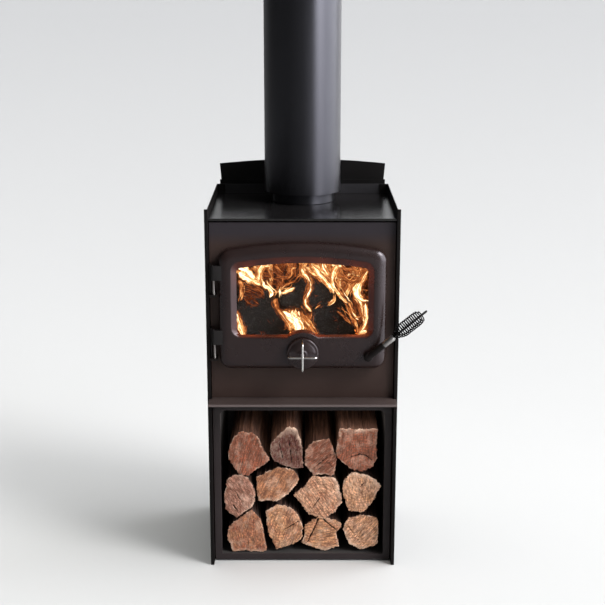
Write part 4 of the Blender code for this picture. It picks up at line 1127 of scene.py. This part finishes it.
# Each tongue: heat, thickness of its cover, depth behind the door's face, and (across, up, width) in mm
# along its middle, from the window's middle and from the firebox's mouth upwards
TONGUES = (
    (1.00, 1.0, 58, ((-163, 792, 14), (-152, 786, 22), (-138, 779, 24), (-120, 768, 18),
                     (-105, 756, 12))),
    (0.98, 1.0, 56, ((-166, 808, 10), (-150, 800, 20), (-132, 786, 18), (-122, 772, 12))),
    (0.62, 0.9, 60, ((-163, 772, 12), (-155, 757, 9), (-153, 738, 7), (-158, 716, 4))),
    (0.88, 1.0, 50, ((-170, 694, 4), (-166, 674, 10), (-160, 650, 16), (-151, 626, 20))),
    (0.82, 1.0, 62, ((-100, 815, 20), (-109, 796, 15), (-112, 778, 10), (-114, 758, 5))),
    (0.80, 0.9, 64, ((-124, 812, 10), (-100, 808, 14), (-80, 806, 10))),
    (0.66, 0.9, 58, ((-86, 802, 3), (-81, 788, 5), (-78, 778, 5), (-83, 764, 3))),
    (0.97, 1.0, 54, ((-101, 770, 8), (-97, 758, 12), (-86, 750, 10), (-78, 738, 9), (-83, 726, 5))),
    (0.60, 0.8, 55, ((-77, 737, 3), (-68, 739, 3), (-60, 741, 2))),
    (0.92, 1.0, 52, ((-60, 752, 5), (-56, 742, 6), (-55, 730, 3))),
    (0.97, 1.0, 53, ((-54, 736, 5), (-43, 742, 10), (-29, 748, 9), (-19, 752, 4))),
    (0.62, 0.9, 62, ((-60, 779, 4), (-48, 775, 5), (-34, 777, 4), (-28, 788, 4), (-25, 800, 4),
                     (-16, 803, 3))),
    (0.58, 0.9, 60, ((-56, 748, 4), (-45, 756, 4), (-33, 762, 5), (-22, 768, 4), (-11, 780, 3),
                     (-3, 787, 2))),
    (0.52, 0.8, 66, ((-51, 778, 4), (-51, 766, 4), (-53, 757, 3))),
    (0.42, 0.8, 68, ((-72, 806, 8), (-60, 796, 9), (-50, 786, 6))),
    (0.74, 1.0, 50, ((2, 812, 16), (2, 794, 16), (13, 777, 12), (19, 759, 11), (16, 742, 10),
                     (9, 727, 11),
                     (8, 713, 10), (16, 698, 8), (25, 690, 4))),
    (0.86, 1.0, 56, ((24, 812, 18), (33, 800, 22), (45, 786, 20), (60, 768, 14), (75, 750, 10),
                     (81, 735, 5))),
    (0.80, 1.0, 62, ((52, 816, 26), (56, 800, 26), (66, 786, 18), (72, 770, 10))),
    (0.92, 1.0, 58, ((8, 808, 10), (24, 790, 10), (44, 780, 8), (60, 770, 5))),
    (0.86, 1.0, 54, ((88, 812, 16), (82, 797, 18), (77, 782, 13), (77, 765, 10), (86, 748, 11),
                     (97, 731, 9),
                     (110, 716, 7), (117, 712, 3))),
    (0.88, 0.9, 60, ((70, 814, 20), (92, 810, 22), (100, 806, 10))),
    (0.62, 0.9, 48, ((33, 698, 3), (39, 704, 4), (47, 710, 3))),
    (0.76, 0.9, 47, ((64, 707, 3), (75, 713, 4), (82, 721, 5), (83, 733, 4))),
    (0.60, 0.9, 48, ((87, 693, 3), (102, 681, 4), (116, 667, 4), (125, 658, 3))),
    (1.00, 1.0, 46, ((-52, 692, 8), (-34, 682, 22), (-18, 668, 36), (-9, 651, 32), (-12, 632, 28))),
    (1.00, 1.0, 47, ((-26, 696, 4), (-25, 686, 9), (-20, 672, 16))),
    (0.98, 0.9, 45, ((-10, 694, 3), (-9, 688, 5), (-7, 680, 4))),
    (0.60, 0.9, 49, ((-67, 725, 10), (-70, 713, 9), (-65, 698, 8), (-51, 681, 9), (-37, 661, 11),
                     (-28, 638, 14))),
    (0.78, 1.0, 46, ((0, 679, 8), (13, 661, 12), (27, 641, 11), (41, 623, 6))),
    (0.46, 0.8, 50, ((22, 690, 8), (19, 676, 8), (17, 661, 5))),
    (0.97, 1.0, 52, ((147, 766, 16), (139, 750, 25), (142, 731, 20), (153, 720, 14), (166, 719, 7))),
    (0.78, 0.9, 56, ((167, 797, 5), (158, 780, 7), (150, 765, 10), (142, 753, 14))),
    (0.86, 1.0, 48, ((161, 716, 13), (164, 690, 9), (165, 667, 9), (155, 647, 9), (147, 632, 7))),
    (0.80, 1.0, 50, ((130, 728, 11), (144, 716, 9), (152, 699, 8), (155, 679, 7), (158, 661, 5))),
    (0.76, 0.9, 58, ((116, 765, 11), (122, 751, 13), (116, 739, 9), (114, 728, 4))),
    (0.82, 0.9, 47, ((116, 716, 4), (122, 707, 4), (127, 690, 4), (137, 675, 4), (144, 670, 2))),
    (0.82, 0.9, 46, ((119, 681, 3), (133, 664, 4), (140, 650, 4), (141, 635, 3))),
    (0.62, 0.8, 48, ((108, 713, 3), (118, 696, 4), (122, 678, 3))),
    (0.76, 0.9, 46, ((147, 629, 8), (158, 638, 12), (166, 640, 8))),
    (0.62, 0.9, 47, ((130, 623, 5), (146, 627, 6), (158, 626, 4))),
    (0.48, 0.8, 66, ((97, 811, 6), (108, 799, 7), (128, 797, 6), (141, 794, 6), (164, 800, 4))),
    (0.54, 0.8, 64, ((91, 782, 8), (105, 780, 11), (116, 774, 11), (128, 768, 9), (139, 773, 5))),
    (0.80, 0.9, 60, ((114, 783, 4), (119, 790, 4))),
    (0.72, 0.8, 62, ((146, 805, 5), (147, 794, 4))),
    (0.40, 0.7, 70, ((100, 772, 12), (112, 757, 12), (106, 742, 9), (98, 726, 6))),
)
HAZE = (
    (0.25, 1.0, 52, ((-160, 750, 16), (-140, 745, 22), (-118, 738, 20), (-100, 722, 10))),
    (0.15, 1.0, 50, ((-150, 728, 14), (-132, 716, 18), (-112, 706, 12))),
    (0.30, 1.0, 60, ((-120, 790, 16), (-90, 782, 24), (-62, 770, 24), (-48, 752, 12))),
    (0.25, 1.0, 64, ((-70, 800, 14), (-52, 784, 20), (-36, 768, 14))),
    (0.45, 1.0, 60, ((20, 806, 30), (52, 796, 34), (84, 788, 26), (104, 772, 14))),
    (0.35, 1.0, 58, ((96, 780, 24), (120, 776, 26), (148, 768, 24), (164, 752, 12))),
    (0.30, 1.0, 54, ((140, 740, 20), (150, 712, 26), (156, 684, 22), (150, 654, 16))),
    (0.20, 1.0, 50, ((116, 690, 10), (128, 670, 14), (136, 650, 10))),
)
FLAME_LIFT = 0.004
FLAME_HALF = 0.1735
STRANDS = 3
BACK_FLAMES = 46


def smooth_run(knots, count):
    """Even points on a Catmull-Rom curve through the knots."""
    ends = [knots[0] * 2 - knots[1]] + list(knots) + [knots[-1] * 2 - knots[-2]]
    points = []
    for step in range(count + 1):
        where = (len(knots) - 1) * step / count
        place = min(int(where), len(knots) - 2)
        share = where - place
        a, b, c, d = ends[place:place + 4]
        points.append(0.5 * (2 * b + (c - a) * share + (2 * a - 5 * b + 4 * c - d) * share ** 2
                             + (3 * b - a - 3 * c + d) * share ** 3))
    return points


def add_tongue(shape, knots, depth, heat, cover, seed):
    """One tongue of flame: a curved strip, hot in its middle and clear at its edges and ends."""
    heat_layer = shape.verts.layers.float["warmth"]
    cover_layer = shape.verts.layers.float["cover"]
    flow_layer = shape.verts.layers.float_vector["flow"]
    count = max(10, 7 * (len(knots) - 1))
    run = smooth_run([Vector(knot) for knot in knots], count)
    sides = (-1.0, -0.8, -0.6, -0.4, -0.2, 0.0, 0.2, 0.4, 0.6, 0.8, 1.0)
    rows = []
    travelled = 0.0
    for place, (across, up, width) in enumerate(run):
        before = run[max(place - 1, 0)]
        after = run[min(place + 1, count)]
        ahead = Vector((after[0] - before[0], after[1] - before[1])).normalized()
        if place:
            travelled += math.hypot(across - before[0], up - before[1])
        side = Vector((-ahead.y, ahead.x))
        sway = 2.4 * noise.noise(Vector((travelled * 0.07, seed, 1.0)))
        fade = min(1.0, place / 2.2, (count - place) / 2.2)
        row = []
        for share in sides:
            bite = 1 + 0.38 * noise.noise(Vector((travelled * 0.13, share * 1.4 + seed, 4.0)))
            taper = 0.45 + 0.55 * min(1.0, place / 5, (count - place) / 5)
            out = share * max(width, 2.0) * 0.62 * bite * taper + sway
            x = (across + side.x * out) / 1000
            z = (up + side.y * out) / 1000 + FLAME_LIFT
            y = DOOR_FACE + depth / 1000 + 0.004 * share * share
            corner = shape.verts.new((max(-FLAME_HALF, min(FLAME_HALF, x)), y, z))
            edge = 1 - share * share
            corner[heat_layer] = heat * (0.40 + 0.60 * edge) * (0.65 + 0.35 * fade)
            corner[cover_layer] = cover * edge * fade
            corner[flow_layer] = (travelled / 1000, share * width / 1000, seed)
            row.append(corner)
        rows.append(row)
    for row, after in zip(rows, rows[1:]):
        for place in range(len(sides) - 1):
            shape.faces.new((row[place], row[place + 1], after[place + 1], after[place]))


def flame_sheet(name, tongues):
    shape = bmesh.new()
    for layer in ("warmth", "cover"):
        shape.verts.layers.float.new(layer)
    shape.verts.layers.float_vector.new("flow")
    for tongue in tongues:
        add_tongue(shape, *tongue)
    finish_mesh(name, shape, FLAME, "stove_body", 80.0)


def build_flames():
    draw = random.Random(11)
    flame_sheet("flames_front", [(knots, depth, heat + 0.06, cover, number * 3.7)
                                 for number, (heat, cover, depth, knots) in enumerate(TONGUES)])
    strands = []
    for number, (heat, cover, depth, knots) in enumerate(TONGUES):
        for copy in range(STRANDS):
            shift = draw.uniform(-11, 11)
            rise = draw.uniform(-5, 9)
            thin = draw.uniform(0.07, 0.24)
            strand = [(across + shift + draw.uniform(-2.5, 2.5), up + rise + draw.uniform(-3, 3),
                       width * thin + 1) for across, up, width in knots]
            hot = heat * draw.uniform(0.60, 1.05)
            strands.append((strand, depth + draw.uniform(-3, 5), hot, cover * 0.8, number * 5.1 + copy))
    flame_sheet("flames_strands", strands)
    haze = []
    for number, (heat, cover, depth, knots) in enumerate(TONGUES + HAZE):
        wide = [(across, up, width * 1.6 + 3) for across, up, width in knots]
        haze.append((wide, depth + 7, 0.14 + 0.36 * heat, 0.56, number * 4.3 + 2))
    flame_sheet("flames_haze", haze)
    behind = []
    for number in range(BACK_FLAMES):
        across = draw.uniform(-165, 165)
        foot = draw.uniform(690, 760)
        top = draw.uniform(800, 835)
        sway = draw.uniform(-14, 14)
        knots = []
        for step in range(5):
            share = step / 4
            bend = sway * math.sin(share * draw.uniform(3.0, 6.0))
            width = (5 + 13 * math.sin(math.pi * share)) * draw.uniform(0.7, 1.2)
            knots.append((across + bend, foot + (top - foot) * share, width))
        behind.append((knots, draw.uniform(150, 290), draw.uniform(0.30, 0.80), 0.85, number * 2.3))
    flame_sheet("flames_behind", behind)


# ---------------------------------------------------------------- stage, light, camera

def build_stage():
    look = Look("studio_floor", (0.86, 0.86, 0.865), 0.75)
    across, deep = look.part(0), look.part(1)
    cloth_and_painted_light = look.mix(look.noise(1.3, 3.0), (0.520, 0.523, 0.522), (0.530, 0.532, 0.531))
    # Darker further back: a painted fall-off of light across the floor, since the sun lamps light it evenly.
    cloth_and_painted_light = look.mix(look.span(deep, 0.3, 5.4), cloth_and_painted_light, (0.396, 0.400, 0.408))
    mirrored = look.add("ShaderNodeLightPath").outputs["Is Glossy Ray"]
    # What the paint reflects of the floor: darker near and to the left, brighter far to the right
    near = look.math("MULTIPLY", look.span(deep, -0.5, 3.0, 0.75, 0.0),
                     look.span(across, 0.35, 0.9, 1.0, 0.0))
    shade = look.math("MAXIMUM", near, look.span(across, -1.6, -0.1, 0.80, 0.0))
    dimmed = look.math("MULTIPLY", mirrored, shade)
    bright = look.math("MULTIPLY", mirrored, look.span(across, 1.2, 3.6))
    cloth_and_painted_light = look.mix(bright, cloth_and_painted_light, (0.90, 0.90, 0.93))
    look.colour(look.mix(dimmed, cloth_and_painted_light, (0.02, 0.02, 0.02)))
    shape = bmesh.new()
    half, front, back, bend, high = 11.0, -7.0, 9.0, 8.0, 12.0
    profile = [(front, 0.0), (back - bend, 0.0)]
    for step in range(1, 33):
        turn = math.radians(90 * step / 32)
        profile.append((back - bend + bend * math.sin(turn), bend * (1 - math.cos(turn))))
    profile.append((back, high))
    rows = [[shape.verts.new((x, y, z)) for x in (-half, half)] for y, z in profile]
    for row, after in zip(rows, rows[1:]):
        shape.faces.new((row[0], row[1], after[1], after[0]))
    mesh = bpy.data.meshes.new("studio_floor")
    shape.to_mesh(mesh)
    shape.free()
    mesh.shade_smooth()
    mesh.materials.append(look.material)
    floor = bpy.data.objects.new("studio_floor", mesh)
    SCENE.collection.objects.link(floor)


# Strength of the surroundings as a light, from the left to the right, and as the camera sees them
DIM_SIDE = 0.05
LIT_SIDE = 0.34
BACKDROP = 0.74
CAMERA_PLACE = (0.0, -3.362, 1.545)
CAMERA_PITCH = 0.2594
LENS_MM, FILM_MM = 75.0, 36.0
GLOW_ROWS = ((0.803, 0.58), (0.670, 0.38))
GLOW_COLUMNS = (-0.135, -0.045, 0.045, 0.135)
GLOW_DEPTH = -0.2870


def sun_light(name, azimuth, elevation, spread, strength, colour=(1, 1, 1)):
    """Wide distant light; azimuth turns from the object's right towards its back."""
    lamp = bpy.data.lights.new(name, "SUN")
    lamp.angle = math.radians(spread)
    lamp.energy = strength
    lamp.color = colour
    turn, rise = math.radians(azimuth), math.radians(elevation)
    towards = Vector((math.cos(turn) * math.cos(rise), math.sin(turn) * math.cos(rise), math.sin(rise)))
    made = bpy.data.objects.new(name, lamp)
    made.rotation_euler = towards.to_track_quat("Z", "Y").to_euler()
    SCENE.collection.objects.link(made)
    return made


def light_scene():
    world = bpy.data.worlds.new("studio")
    world.use_nodes = True
    tree = world.node_tree
    sky = tree.nodes["Background"]
    sky.inputs[0].default_value = (0.97, 0.98, 0.97, 1.0)
    seen = tree.nodes.new("ShaderNodeLightPath").outputs["Is Camera Ray"]
    towards = tree.nodes.new("ShaderNodeTexCoord").outputs["Generated"]
    parts = tree.nodes.new("ShaderNodeSeparateXYZ")
    tree.links.new(towards, parts.inputs[0])
    side = tree.nodes.new("ShaderNodeMapRange")
    for name, value in (("From Min", -0.6), ("From Max", 0.6), ("To Min", DIM_SIDE), ("To Max", LIT_SIDE)):
        side.inputs[name].default_value = value
    tree.links.new(parts.outputs[0], side.inputs["Value"])
    level = tree.nodes.new("ShaderNodeMapRange")
    level.inputs["To Max"].default_value = BACKDROP
    tree.links.new(side.outputs[0], level.inputs["To Min"])
    tree.links.new(seen, level.inputs["Value"])
    tree.links.new(level.outputs[0], sky.inputs[1])
    SCENE.world = world
    sun_light("key", -6, 14, 90, 7.0, (0.95, 0.96, 1.0))
    sun_light("side", -29, 40, 20, 1.9, (1.0, 0.985, 0.96))
    sun_light("rim", 52, 6, 34, 0.9, (0.97, 0.98, 1.0))
    stage = bpy.data.collections.new("lit_from_above")
    stage.objects.link(bpy.data.objects["studio_floor"])
    sun_light("overhead", 90, 72, 96, 2.2, (1.0, 1.0, 0.965)).light_linking.receiver_collection = stage
    glow_on_door()
    panel_light("store_fill", (0.0, -0.245, 0.424), 0.40, 0.02, 0.26, (1.0, 0.95, 0.90), (35, 0, 0))


def panel_light(name, place, wide, high, power, colour, turn):
    """A flat light; unturned it shines down."""
    lamp = bpy.data.lights.new(name, "AREA")
    lamp.shape = "RECTANGLE"
    lamp.size = wide
    lamp.size_y = high
    lamp.energy = power
    lamp.color = colour
    made = bpy.data.objects.new(name, lamp)
    made.location = place
    made.rotation_euler = [math.radians(part) for part in turn]
    made.visible_camera = False
    made.visible_glossy = False
    SCENE.collection.objects.link(made)
    return made


def glow_on_door():
    """The fire's light on the slopes round the window, which it reaches through the glass."""
    lit = bpy.data.collections.new("lit_by_fire")
    lit.objects.link(bpy.data.objects["door_casting"])
    for up, power in GLOW_ROWS:
        for across in GLOW_COLUMNS:
            lamp = bpy.data.lights.new("fire_glow", "POINT")
            lamp.shadow_soft_size = 0.006
            lamp.energy = power
            lamp.color = (1.0, 0.27, 0.07)
            glow = bpy.data.objects.new("fire_glow", lamp)
            glow.location = (across, GLOW_DEPTH, up)
            glow.visible_camera = False
            glow.visible_glossy = False
            glow.light_linking.receiver_collection = lit
            SCENE.collection.objects.link(glow)


def place_camera():
    lens = bpy.data.cameras.new("camera")
    lens.lens = LENS_MM
    lens.sensor_width = FILM_MM
    camera = bpy.data.objects.new("camera", lens)
    camera.location = CAMERA_PLACE
    camera.rotation_euler = (math.radians(90) - CAMERA_PITCH, 0.0, 0.0)
    SCENE.collection.objects.link(camera)
    SCENE.camera = camera


place_camera()
build_stage()
dress_casing()
dress_door()
build_spinner()
build_handle()
build_firewood()
build_burning_logs()
build_embers()
build_flames()
dress_inside()
light_scene()

for subpart in frame["record"]["subparts"]:
    slots = NODES[subpart["node"]].data.materials
    if len(slots):
        slots[0] = LOOKS[subpart["material_slot"]]
    else:
        slots.append(LOOKS[subpart["material_slot"]])

SCENE.view_settings.view_transform = "Standard"
SCENE.cycles.transparent_max_bounces = 24
